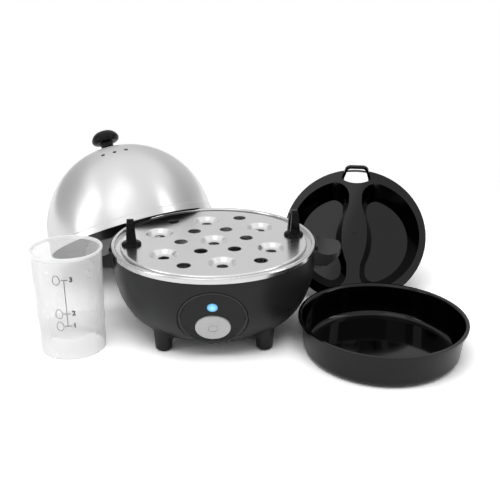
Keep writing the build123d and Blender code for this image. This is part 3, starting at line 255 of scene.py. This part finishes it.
# %% Pale and coloured finishes
button_plastic = plastic("button_silver_plastic", grey(0.56), 0.36, grain_mm=0.3, drift=0.06)
seal_rubber = plastic("seal_grey_silicone", (0.42, 0.42, 0.40), 0.55, grain_mm=0.5)
nylon = plastic("terminal_pale_nylon", (0.62, 0.62, 0.58), 0.5, grain_mm=0.5)
ceramic = plastic("thermostat_ceramic", (0.58, 0.55, 0.48), 0.7, grain_mm=0.25, depth_mm=0.02)
board_laminate = plastic("board_green_laminate", (0.02, 0.11, 0.045), 0.4, grain_mm=0.9, drift=0.15)
print("other finishes:", [m.name for m in (button_plastic, seal_rubber, nylon, ceramic, board_laminate)])

# %% [markdown]
# ## Scratched steel
# The lid is polished while it spins, so its scratches run round its axis. Light that meets such
# scratches spreads along the meridians, which draws the soft bands from the knob to the rim. The rack
# is brushed in one straight direction. A bump alone could draw the scratches, but most of them are
# finer than a pixel. So two things say it: noise that changes quickly across the scratches and slowly
# along them, for the colour and the roughness, and the shader's anisotropy, which spreads the gloss
# across them.

# %% Scratches, and what they do to steel
SCRATCH_STRETCH = 9.0
SCRATCH_SHARE = 0.55
STEEL_DARKER = 0.93
STEEL_LIGHTER = 1.06
STEEL_BUMP = 0.3


def scratches(tree, across, along, fineness):
    """Noise for scratches: many to the metre across them, few along them."""
    sockets = {
        "X": number(tree, "MULTIPLY", across[0], fineness),
        "Y": number(tree, "MULTIPLY", across[1], fineness),
        "Z": number(tree, "MULTIPLY", along, SCRATCH_STRETCH),
    }
    place = add_node(tree, "ShaderNodeCombineXYZ", sockets).outputs[0]
    return grain(tree, place, 1.0, 4.0, 0.7)


def finish_steel(tree, shader, lines, broad, colour, roughness, spread, depth_mm):
    """Sets the colour, roughness and bump of steel from its scratches and a broad cloudiness."""
    mixed = weigh(tree, lines, broad, SCRATCH_SHARE)
    shades = blend_colours(tree, mixed, tint(colour, STEEL_DARKER), tint(colour, STEEL_LIGHTER))
    tree.links.new(shades, shader.inputs["Base Color"])
    smooth, rough = roughness - spread, roughness + spread
    tree.links.new(between(tree, mixed, smooth, rough), shader.inputs["Roughness"])
    add_bump(tree, shader, lines, STEEL_BUMP, depth_mm / 1000)
    shader.inputs["Metallic"].default_value = 1.0


def spread_gloss(tree, shader, scratch_way, anisotropy):
    """Spreads the gloss across the scratches: the tangent lies in the surface, square to their way."""
    normal = tree.nodes.new("ShaderNodeNewGeometry").outputs["Normal"]
    tangent = vector(tree, "NORMALIZE", vector(tree, "CROSS_PRODUCT", scratch_way, normal))
    shader.inputs["Anisotropic"].default_value = anisotropy
    tree.links.new(tangent, shader.inputs["Tangent"])


print("steel's shades:", STEEL_DARKER, "to", STEEL_LIGHTER)

# %% [markdown]
# ## Spun steel and brushed steel
# The two kinds of steel differ only in where their scratches run. On a spun piece, the way round the
# axis is the cross product of the axis and the arm from the centre to the point, and what changes
# across the scratches is the distance from the axis and the height along it. On a brushed piece, the
# way is the same everywhere, and what changes across it is plain distance.

# %% The two kinds of steel
UP = Vector((0, 0, 1))
SPUN_FINENESS = 2600.0
BRUSHED_FINENESS = 2200.0
SPUN_CLOUDS_PER_METRE = 14.0
BRUSHED_CLOUDS_PER_METRE = 22.0


def spun_steel(name, centre, axis, colour, roughness, spread=0.06, anisotropy=0.7, depth_mm=0.003):
    """Steel with scratches round an axis through a centre."""
    material, tree, shader, place = start_material(name)
    away = vector(tree, "SUBTRACT", place, tuple(centre))
    height = vector(tree, "DOT_PRODUCT", away, tuple(axis))
    reach = vector(tree, "LENGTH", away)
    reach_squared = number(tree, "MULTIPLY", reach, reach)
    height_squared = number(tree, "MULTIPLY", height, height)
    off_axis_squared = number(tree, "SUBTRACT", reach_squared, height_squared)
    off_axis = number(tree, "SQRT", number(tree, "MAXIMUM", off_axis_squared, 0.0))
    round_way = vector(tree, "NORMALIZE", vector(tree, "CROSS_PRODUCT", tuple(axis), away))
    along = add_node(tree, "ShaderNodeSeparateXYZ", {0: round_way}).outputs[0]
    lines = scratches(tree, (off_axis, height), along, SPUN_FINENESS)
    broad = grain(tree, place, SPUN_CLOUDS_PER_METRE, 3.0)
    finish_steel(tree, shader, lines, broad, colour, roughness, spread, depth_mm)
    spread_gloss(tree, shader, round_way, anisotropy)
    return material, tree, shader, away


def brushed_steel(name, turn, colour, roughness, spread=0.05, anisotropy=0.45, depth_mm=0.002):
    """Steel brushed in one direction, turned about the vertical by an angle in degrees."""
    material, tree, shader, place = start_material(name)
    brush_way = (cos(radians(turn)), sin(radians(turn)), 0.0)
    sideways = (-sin(radians(turn)), cos(radians(turn)), 0.0)
    across = (vector(tree, "DOT_PRODUCT", place, sideways), vector(tree, "DOT_PRODUCT", place, tuple(UP)))
    along = vector(tree, "DOT_PRODUCT", place, brush_way)
    lines = scratches(tree, across, along, BRUSHED_FINENESS)
    broad = grain(tree, place, BRUSHED_CLOUDS_PER_METRE, 3.0)
    finish_steel(tree, shader, lines, broad, colour, roughness, spread, depth_mm)
    spread_gloss(tree, shader, brush_way, anisotropy)
    return material


print("scratches to the metre:", SPUN_FINENESS, "spun,", BRUSHED_FINENESS, "brushed")

# %% [markdown]
# ## The metals of this object
# The bowl is polished and pressed round the upright axis. The rack is brushed, and its direction is
# turned with the rack, by the same few degrees as its two handles. Screws and clips are plated steel,
# the heater's sheath is dark from heat, and the plate under the bowl is a dull casting.

# %% Bowl, rack and inner metals
RACK_TURN = 8.6
bowl_steel = spun_steel(
    "bowl_polished_steel", (0, 0, 0), UP, grey(0.74), roughness=0.16, spread=0.04, anisotropy=0.3
)[0]
rack_steel = brushed_steel("rack_brushed_steel", RACK_TURN, grey(0.88), 0.24)
plated_steel = brushed_steel("plated_screw_steel", 0.0, grey(0.60), 0.30, depth_mm=0.001)
sheath_steel = brushed_steel("heater_sheath_steel", 30.0, (0.22, 0.21, 0.20), 0.5)
aluminium = brushed_steel("cast_aluminium", 0.0, (0.52, 0.52, 0.53), 0.55)
brass = brushed_steel("tinned_brass", 0.0, (0.62, 0.48, 0.22), 0.35)
print("metals:", [m.name for m in (bowl_steel, rack_steel, plated_steel, sheath_steel, aluminium, brass)])

# %% [markdown]
# ## The lid
# The lid is one sheet of steel, bright outside. Its inner faces get a much darker colour: painted shade,
# for the shadow that fills the dome. The faces could be given two materials, but the dome is one closed
# solid, so picking its faces would need a search. One material can say both: where the normal doesn't
# point away from the dome's centre, the face is an inner one. The walls of the three steam holes near the
# top get the same painted shade, so the holes read dark. Their normals point sideways, so near the top
# the test is stricter. The dome's centre is worked out from the solid's own box, and its axis from the
# way that the lid leans.

# %% Where the dome is
LID_TILT = radians(30.6)
LID_TURN = radians(124.0)
DOME_RADIUS = 0.0832
lid_axis = Vector((sin(LID_TILT) * cos(LID_TURN), sin(LID_TILT) * sin(LID_TURN), cos(LID_TILT)))
dome_low, dome_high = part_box("lid_dome")
# The sphere touches the left side, the back and the top of the box, so it is one radius inside each.
dome_centre = Vector((dome_low.x + DOME_RADIUS, dome_high.y - DOME_RADIUS, dome_high.z - DOME_RADIUS))
print("centre of the dome in mm:", [round(1000 * value, 1) for value in dome_centre])

# %% Lid finish
TOP_PART = 0.050
OUTSIDE_SHARE = 0.9
INSIDE_SHADE_MOTTLE_PER_METRE = 45.0
INSIDE_SHADE_DARK = grey(0.10)
INSIDE_SHADE_LIGHT = grey(0.17)
lid_steel, lid_tree, lid_shader, lid_away = spun_steel(
    "lid_spun_steel",
    dome_centre,
    lid_axis,
    grey(0.83),
    roughness=0.32,
    spread=0.06,
    anisotropy=0.75,
    depth_mm=0.004,
)
lid_normal = lid_tree.nodes.new("ShaderNodeNewGeometry").outputs["Normal"]
outward = vector(lid_tree, "DOT_PRODUCT", lid_away, lid_normal)
lid_height = vector(lid_tree, "DOT_PRODUCT", lid_away, tuple(lid_axis))
near_top = number(lid_tree, "GREATER_THAN", lid_height, TOP_PART)
threshold = number(lid_tree, "MULTIPLY", near_top, OUTSIDE_SHARE * DOME_RADIUS)
inside = number(lid_tree, "LESS_THAN", outward, threshold)
bright = lid_shader.inputs["Base Color"].links[0].from_socket
# Inner faces and hole walls: painted shade, a dark mottled grey in place of the bright steel colour.
painted_inside_shade = blend_colours(lid_tree, grain(lid_tree, lid_away, INSIDE_SHADE_MOTTLE_PER_METRE), INSIDE_SHADE_DARK, INSIDE_SHADE_LIGHT)
lid_tree.links.new(blend_colours(lid_tree, inside, bright, painted_inside_shade), lid_shader.inputs["Base Color"])
print("lid finish:", lid_steel.name, "with", len(lid_tree.nodes), "nodes")

# %% [markdown]
# ## The milky cup
# The cup is milky polypropylene: it lets most of the light through each wall and scatters the rest, so
# the lid's dark edge shows through it as a grey shape. True refraction through two thin walls is slow,
# noisy and hardly seen. A white plastic that is mostly transparent gives the same look and keeps the
# cup's shadow light. Where the wall is seen on edge, and in the thick bead at the rim, there is more
# plastic to look through, so a Layer Weight node and the height make it whiter there.

# %% Cup finish
BEAD_HEIGHT = 0.0024
WALL_MILK = 0.25
EDGE_MILK = 0.60
BEAD_MILK = 0.62
EDGE_POWER = 3.0
MILK_COLOURS = (grey(0.95), grey(0.99))
MILK_ROUGHNESS = (0.20, 0.32)
MILK_CLOUDS_PER_METRE = 60.0
MILK_GRAINS_PER_METRE = 1800.0
MILK_BUMP = 0.2
MILK_BUMP_DEPTH = 0.000006


def milky_plastic(name, bead_start):
    """White, slightly cloudy plastic that shows what is behind it, with a thick bead above a height."""
    material, tree, shader, place = start_material(name)
    cloud = grain(tree, place, MILK_CLOUDS_PER_METRE, 4.0)
    tree.links.new(blend_colours(tree, cloud, *MILK_COLOURS), shader.inputs["Base Color"])
    tree.links.new(between(tree, cloud, *MILK_ROUGHNESS), shader.inputs["Roughness"])
    fine = grain(tree, place, MILK_GRAINS_PER_METRE, 2.0)
    add_bump(tree, shader, fine, MILK_BUMP, MILK_BUMP_DEPTH)
    facing = add_node(tree, "ShaderNodeLayerWeight", {"Blend": 0.5}).outputs["Facing"]
    on_edge = number(tree, "POWER", facing, EDGE_POWER)
    height = add_node(tree, "ShaderNodeSeparateXYZ", {0: place}).outputs[2]
    bead = number(tree, "GREATER_THAN", height, bead_start)
    wall_milk = between(tree, on_edge, WALL_MILK, EDGE_MILK)
    milk = number(tree, "MAXIMUM", wall_milk, number(tree, "MULTIPLY", bead, BEAD_MILK))
    tree.links.new(milk, shader.inputs["Alpha"])
    return material


cup_low, cup_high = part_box("measuring_cup")
cup_plastic = milky_plastic("cup_milky_plastic", cup_high.z - BEAD_HEIGHT)
print("cup's height in mm:", round(1000 * cup_high.z, 1))

# %% [markdown]
# ## The lit lens
# A small clear lens over the button shows that the cooker is on. It is lit from behind, so it is pale
# in its middle and a deeper blue towards its edge. A lamp inside a clear solid would have to shine
# through it, which is noisy at this size. A surface that glows by itself, with a colour that changes
# with the distance from its middle and a clear gloss over it, looks the same.

# %% Lens finish
HEART_DROP = 0.0007
LENS_REACH = 0.0044
HEART_GLOW = (0.38, 0.86, 1.0, 1)
EDGE_GLOW = (0.01, 0.14, 0.34, 1)
GLOW_STRENGTH = 0.75
UNLIT_COLOURS = ((0.10, 0.35, 0.55, 1), (0.25, 0.60, 0.80, 1))
SPECKS_PER_METRE = 900.0
LENS_ROUGHNESS = 0.12


def glowing_lens(name, middle, reach):
    """A lit lens: pale in its middle and deeper blue towards its edge."""
    material, tree, shader, place = start_material(name)
    away = vector(tree, "LENGTH", vector(tree, "SUBTRACT", place, tuple(middle)))
    edge = between(tree, number(tree, "DIVIDE", away, reach), 0.0, 1.0)
    speck = grain(tree, place, SPECKS_PER_METRE, 2.0)
    glow = blend_colours(tree, edge, HEART_GLOW, EDGE_GLOW)
    unlit = blend_colours(tree, speck, *UNLIT_COLOURS)
    tree.links.new(glow, shader.inputs["Emission Color"])
    tree.links.new(unlit, shader.inputs["Base Color"])
    shader.inputs["Emission Strength"].default_value = GLOW_STRENGTH
    shader.inputs["Roughness"].default_value = LENS_ROUGHNESS
    return material


lens_low, lens_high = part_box("indicator_lens")
heart_height = (lens_low.z + lens_high.z) / 2 - HEART_DROP
lens_heart = Vector(((lens_low.x + lens_high.x) / 2, lens_low.y, heart_height))
lens_plastic = glowing_lens("lens_lit_blue", lens_heart, LENS_REACH)
print("middle of the lens in mm:", [round(1000 * value, 1) for value in lens_heart])

# %% [markdown]
# ## Give each solid its finish
# The record names a material slot for every node. Most slots are one finish, so a table from slot to
# finish does nearly all the work, and a new node in a known slot is finished without another line. A
# few nodes differ from their slot's usual finish, such as the knob, which is satin where the loop
# handles shine.

# %% Assign the finishes
FINISHES = {
    "body_plastic": body_plastic,
    "panel_plastic": panel_plastic,
    "handle_plastic": handle_plastic,
    "pan_plastic": pan_plastic,
    "bowl_steel": bowl_steel,
    "rack_steel": rack_steel,
    "lid_steel": lid_steel,
    "rubber": pad_rubber,
    "seal_rubber": seal_rubber,
    "screw_steel": plated_steel,
    "element_steel": sheath_steel,
    "aluminium": aluminium,
    "brass": brass,
    "spring_steel": plated_steel,
    "thermostat_plastic": ceramic,
    "fuse_case": plated_steel,
    "terminal_plastic": nylon,
    "board": board_laminate,
    "switch_plastic": switch_plastic,
    "button_plastic": button_plastic,
    "lens_plastic": lens_plastic,
    "clear_plastic": cup_plastic,
}
SPECIAL = {"lid_knob": knob_plastic, "panel_ring": ring_plastic}
for part in frame["record"]["subparts"]:
    solid = nodes[part["node"]]
    finish = SPECIAL.get(part["node"], FINISHES[part["material_slot"]])
    solid.data.materials.clear()
    solid.data.materials.append(finish)

# %% [markdown]
# ## The spring behind the button
# When the button goes in, the coil spring behind it gets shorter. It could be left rigid, but then it
# would stick through the button's roof at the end of its travel. Its far end rests on the switch. Here
# the spring is only given a mesh of its own; nothing in this script shortens it.

# %% Give the spring a mesh of its own
spring = nodes["button_spring"]
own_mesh(spring)

# %% [markdown]
# ## The printed scale on the cup
# The cup carries a printed scale: a line up its wall, three ticks, an egg outline beside each tick, and
# a mark that says how much water each needs. The words on it aren't copied, and plain numbers stand in
# their place. Print could be a colour in the cup's material, but thin lines made by arithmetic are hard
# to draw and to change. Here the print is drawn flat, then wrapped on the wall, which is a slightly
# tapered tube, and given a hair of thickness, so that it is a solid film of ink.

# %% Where the print goes
CUP_AXIS = Vector(((cup_low.x + cup_high.x) / 2, (cup_low.y + cup_high.y) / 2, 0))
CUP_FOOT_RADIUS = 0.0265
CUP_TOP_RADIUS = 0.0285
CUP_TAPER = (CUP_TOP_RADIUS - CUP_FOOT_RADIUS) / (cup_high.z - BEAD_HEIGHT)
INK_LIFT = 0.00004
LINE_ANGLE = -84.3
MARKS = {"3": 0.0714, "2": 0.0421, "1": 0.0312}


def on_cup(across, height):
    """A point of the print: across is measured along the wall from the line, height from the floor."""
    radius = CUP_FOOT_RADIUS + CUP_TAPER * height + INK_LIFT
    angle = radians(LINE_ANGLE) + across / radius
    return CUP_AXIS + Vector((radius * cos(angle), radius * sin(angle), height))


print("marks in mm:", {name: round(1000 * height, 1) for name, height in MARKS.items()})

# %% [markdown]
# ## Strokes of ink
# A printed stroke has a width, so it is a ribbon and not a line. For each point of a stroke, two
# corners are set square to the way that the stroke runs there, and neighbours are joined by a face. A
# closed stroke joins its last point to its first.

# %% A stroke on the wall
INK_WIDTH = 0.00048
ink = bmesh.new()


def ribbon(points, width, closed):
    """Two rows of flat points either side of a line, for one printed stroke."""
    count = len(points)
    rows = []
    for k, point in enumerate(points):
        before = points[k - 1] if k or closed else point
        after = points[(k + 1) % count] if k < count - 1 or closed else point
        way = Vector(after) - Vector(before)
        side = Vector((-way.y, way.x)).normalized() * width / 2
        rows.append((Vector(point) - side, Vector(point) + side))
    return rows


def print_stroke(points, width=INK_WIDTH, closed=False):
    """Prints one stroke on the cup's wall."""
    rows = ribbon(points, width, closed)
    corners = [[ink.verts.new(on_cup(p.x, p.y)) for p in pair] for pair in rows]
    last = len(corners) if closed else len(corners) - 1
    for k in range(last):
        a, b = corners[k], corners[(k + 1) % len(corners)]
        ink.faces.new((a[0], b[0], b[1], a[1]))


print("width of a stroke in mm:", round(1000 * INK_WIDTH, 2))

# %% [markdown]
# ## The line, the ticks and the eggs
# The line and the ticks are cut into short steps, so that they follow the round wall instead of cutting
# through it. An egg is an ellipse whose width shrinks a little towards its top, drawn with a finer
# stroke.

# %% Draw the line, the ticks and the eggs
LINE_STEPS = 24
TICK_STEPS = 8
TICK_START = -0.0024
TICK_END = 0.0030
EGG_STEPS = 32
EGG_OFFSET = -0.0062
EGG_HALF_WIDTH = 0.0028
EGG_HALF_HEIGHT = 0.0040
EGG_NARROWING = 0.12
EGG_STROKE = 0.8 * INK_WIDTH

heights = sorted(MARKS.values())
line_length = heights[-1] - heights[0]
print_stroke([(0, heights[0] + line_length * k / LINE_STEPS) for k in range(LINE_STEPS + 1)])
tick_length = TICK_END - TICK_START
for height in heights:
    print_stroke([(TICK_START + tick_length * k / TICK_STEPS, height) for k in range(TICK_STEPS + 1)])
    egg = []
    for k in range(EGG_STEPS):
        turn = 2 * pi * k / EGG_STEPS
        half_width = EGG_HALF_WIDTH * (1 - EGG_NARROWING * sin(turn))
        egg.append((EGG_OFFSET + half_width * cos(turn), height + EGG_HALF_HEIGHT * sin(turn)))
    print_stroke(egg, EGG_STROKE, closed=True)
print("faces of the strokes:", len(ink.faces))

# %% [markdown]
# ## The numbers
# Numbers could be drawn as strokes too, but Blender's text object has well-drawn ones. Each is set as
# flat text, turned into a mesh, and its points are moved on to the wall in the same way as the strokes.
# The text object itself isn't kept.

# %% Set the numbers beside the ticks
NUMBER_OFFSET = 0.0040
NUMBER_SIZE = 0.0056
NUMBER_BOLD = 0.00018
for text, height in MARKS.items():
    letters = bpy.data.curves.new("scale_number", "FONT")
    letters.body = text
    letters.size = NUMBER_SIZE
    letters.offset = NUMBER_BOLD
    letters.align_y = "CENTER"
    holder = bpy.data.objects.new("scale_number", letters)
    scene.collection.objects.link(holder)
    bpy.context.view_layer.update()
    settled = holder.evaluated_get(bpy.context.evaluated_depsgraph_get())
    flat = bpy.data.meshes.new_from_object(settled)
    made = [ink.verts.new(on_cup(NUMBER_OFFSET + v.co.x, height + v.co.y)) for v in flat.vertices]
    for face in flat.polygons:
        ink.faces.new([made[k] for k in face.vertices])
    bpy.data.objects.remove(holder)
    bpy.data.meshes.remove(flat)
print("faces with the numbers:", len(ink.faces))

# %% [markdown]
# ## From flat print to a film of ink
# A flat sheet has no inside, so by itself it would be a stray, open surface. A Solidify modifier gives
# it the thickness of ink, which closes it. The film rides on the cup's body, so it lifts with the cup.

# %% Turn the print into a piece that rides on the cup
INK_THICK = 0.00006
bmesh.ops.recalc_face_normals(ink, faces=ink.faces)
ink_mesh = bpy.data.meshes.new("cup_scale")
ink.to_mesh(ink_mesh)
ink.free()
cup_scale = bpy.data.objects.new("cup_scale", ink_mesh)
scene.collection.objects.link(cup_scale)
film = cup_scale.modifiers.new("film", "SOLIDIFY")
film.thickness = INK_THICK
film.offset = 0
ink_finish = plastic("scale_dark_ink", (0.008, 0.008, 0.009), 0.6, grain_mm=0.25, drift=0.3)
ink_mesh.materials.append(ink_finish)
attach(cup_scale, "cup")
print("printed scale:", len(ink_mesh.vertices), "points")

# %% [markdown]
# ## The floor
# The set stands on white paper that runs up behind it with no edge. A curved backdrop would show its
# bend in the side views, so the floor is one large plane, and it lies a hair under the feet.

# %% Floor
FLOOR_HALF = 6.0
FLOOR_DROP = 0.0002
FLOOR_CELLS = 4
floor_mesh = bpy.data.meshes.new("floor")
floor_shape = bmesh.new()
bmesh.ops.create_grid(floor_shape, x_segments=FLOOR_CELLS, y_segments=FLOOR_CELLS, size=FLOOR_HALF)
floor_shape.to_mesh(floor_mesh)
floor_shape.free()
floor = bpy.data.objects.new("floor", floor_mesh)
floor.location = (0, 0, -FLOOR_DROP)
scene.collection.objects.link(floor)
print("floor half width in m:", FLOOR_HALF)

# %% [markdown]
# ## White paper
# Near the set the paper is lit, so that it takes the shadows. The camera alone sees it brighter than it
# is, so that all but the dark contact shadows reach white. Further off it fades to an even white that
# is seen by the camera, in glossy surfaces and through clear ones. More light would whiten the paper
# too, but it would wash out the object. This way the light on the object keeps a plain level, however
# white the paper looks.

# %% Paper finish
SHADOW_REACH = 0.34
FADE_REACH = 0.62
FIBRES_PER_METRE = 700.0
CAMERA_LIFT = 1.42
PAPER_DARK = 0.92
PAPER_LIGHT = 0.95
LIFTED_DARK = 0.98 * CAMERA_LIFT

paper, paper_tree, glossy_shader, paper_place = start_material("white_paper")
paper_tree.nodes.remove(glossy_shader)
fibres = grain(paper_tree, paper_place, FIBRES_PER_METRE, 3.0)
ray = paper_tree.nodes.new("ShaderNodeLightPath").outputs
real_paper = blend_colours(paper_tree, fibres, grey(PAPER_DARK), grey(PAPER_LIGHT))
lifted = blend_colours(paper_tree, fibres, grey(LIFTED_DARK), grey(CAMERA_LIFT))
shown = blend_colours(paper_tree, ray["Is Camera Ray"], real_paper, lifted)
lit = add_node(paper_tree, "ShaderNodeBsdfDiffuse", {"Color": shown}).outputs[0]
in_pieces = number(paper_tree, "MAXIMUM", ray["Is Glossy Ray"], ray["Is Transmission Ray"])
seen = number(paper_tree, "MAXIMUM", ray["Is Camera Ray"], in_pieces)
distance = vector(paper_tree, "LENGTH", paper_place)
far = ramp(paper_tree, distance, SHADOW_REACH, FADE_REACH, 0.0, 1.0)
white = add_node(paper_tree, "ShaderNodeEmission", {"Color": grey(1.0), "Strength": 1.0}).outputs[0]
share = number(paper_tree, "MULTIPLY", seen, far)
surface = add_node(paper_tree, "ShaderNodeMixShader", {0: share, 1: lit, 2: white}).outputs[0]
paper_tree.links.new(surface, paper_tree.nodes["Material Output"].inputs["Surface"])
floor_mesh.materials.append(paper)
print("paper fades to white from", SHADOW_REACH, "to", FADE_REACH, "m")

# %% [markdown]
# ## The room
# The world stands for the room. The camera sees white paper all round. Shiny pieces mirror a bright
# front and ceiling, where the big lights are, a softer back, where the paper is, and dim sides. Steel
# shows those differences as its light middle and darker edges, and black gloss shows a few hundredths
# of them. A photo of a studio could do this as an environment image, but four levels by direction say
# it in a few nodes.

# %% What shiny pieces mirror
FRONT_LEVEL = 0.90
BACK_LEVEL = 0.66
SIDE_LEVEL = 0.62
FRONT_TO_BACK = 0.35
CEILING_START = 0.40
CEILING_FULL = 0.72
SIDE_START = 0.30
SIDE_FULL = 0.90
world = bpy.data.worlds.new("room")
scene.world = world
world.use_nodes = True
room = world.node_tree
direction = room.nodes.new("ShaderNodeTexCoord").outputs["Generated"]
sideways, backward, upward = add_node(room, "ShaderNodeSeparateXYZ", {0: direction}).outputs
front = ramp(room, backward, FRONT_TO_BACK, -FRONT_TO_BACK, BACK_LEVEL, FRONT_LEVEL)
above = ramp(room, upward, CEILING_START, CEILING_FULL, 0.0, FRONT_LEVEL)
to_the_side = number(room, "ABSOLUTE", sideways)
dimming = ramp(room, to_the_side, SIDE_START, SIDE_FULL, 1.0, SIDE_LEVEL)
mirrored = number(room, "MAXIMUM", number(room, "MULTIPLY", front, dimming), above)
print("levels: front", FRONT_LEVEL, "back", BACK_LEVEL, "sides", SIDE_LEVEL)

# %% [markdown]
# ## One world, three uses
# Each ray that leaves the scene asks the world for light. Rays from the camera, and those through clear
# pieces, get plain white. Rays off glossy surfaces get the room as it is mirrored. All others only
# light the object, and they get a low even fill, so that shadows stay soft and nothing clips.

# %% Share the world out by the kind of ray
WORLD_FILL = 0.42
ray = room.nodes.new("ShaderNodeLightPath").outputs
plain = number(room, "MAXIMUM", ray["Is Camera Ray"], ray["Is Transmission Ray"])
glossy = number(room, "MULTIPLY", ray["Is Glossy Ray"], number(room, "SUBTRACT", 1.0, plain))
other = number(room, "SUBTRACT", 1.0, number(room, "MAXIMUM", plain, ray["Is Glossy Ray"]))
shown_or_mirrored = number(room, "ADD", plain, number(room, "MULTIPLY", glossy, mirrored))
strength = number(room, "ADD", shown_or_mirrored, number(room, "MULTIPLY", other, WORLD_FILL))
background = room.nodes["Background"]
background.inputs["Color"].default_value = grey(1.0)
room.links.new(strength, background.inputs["Strength"])
print("fill light:", WORLD_FILL)

# %% [markdown]
# ## Lights
# A large soft light hangs over the set and does most of the work. Shiny pieces don't mirror it, because
# the room's own ceiling is already in their reflections. A faint tall light to its left is there to be
# mirrored: its soft edge falls across the tray's floors. Two tall strips stand at the sides and draw
# the long highlights on the dome, the ring and the handles.


# %% Softboxes
def softbox(name, place, aim, size, watts):
    """A soft rectangular light that points at a place."""
    lamp = bpy.data.lights.new(name, "AREA")
    lamp.shape = "RECTANGLE"
    lamp.size, lamp.size_y = size
    lamp.energy = watts
    holder = bpy.data.objects.new(name, lamp)
    holder.location = place
    holder.rotation_euler = (Vector(place) - Vector(aim)).to_track_quat("Z", "Y").to_euler()
    scene.collection.objects.link(holder)
    return holder


ceiling = softbox(
    "ceiling_light", place=(-0.05, -0.35, 1.10), aim=(0, 0.05, 0), size=(0.9, 0.7), watts=7.5
)
ceiling.visible_glossy = False
softbox("mirror_light", place=(-0.22, -0.49, 0.96), aim=(0.12, 0.07, 0.06), size=(0.5, 0.9), watts=0.85)
softbox("left_strip", place=(-0.85, -0.35, 0.45), aim=(-0.05, 0.05, 0.08), size=(0.25, 0.9), watts=1.6)
softbox("right_strip", place=(0.85, -0.25, 0.45), aim=(0.05, 0.05, 0.08), size=(0.20, 0.9), watts=1.2)
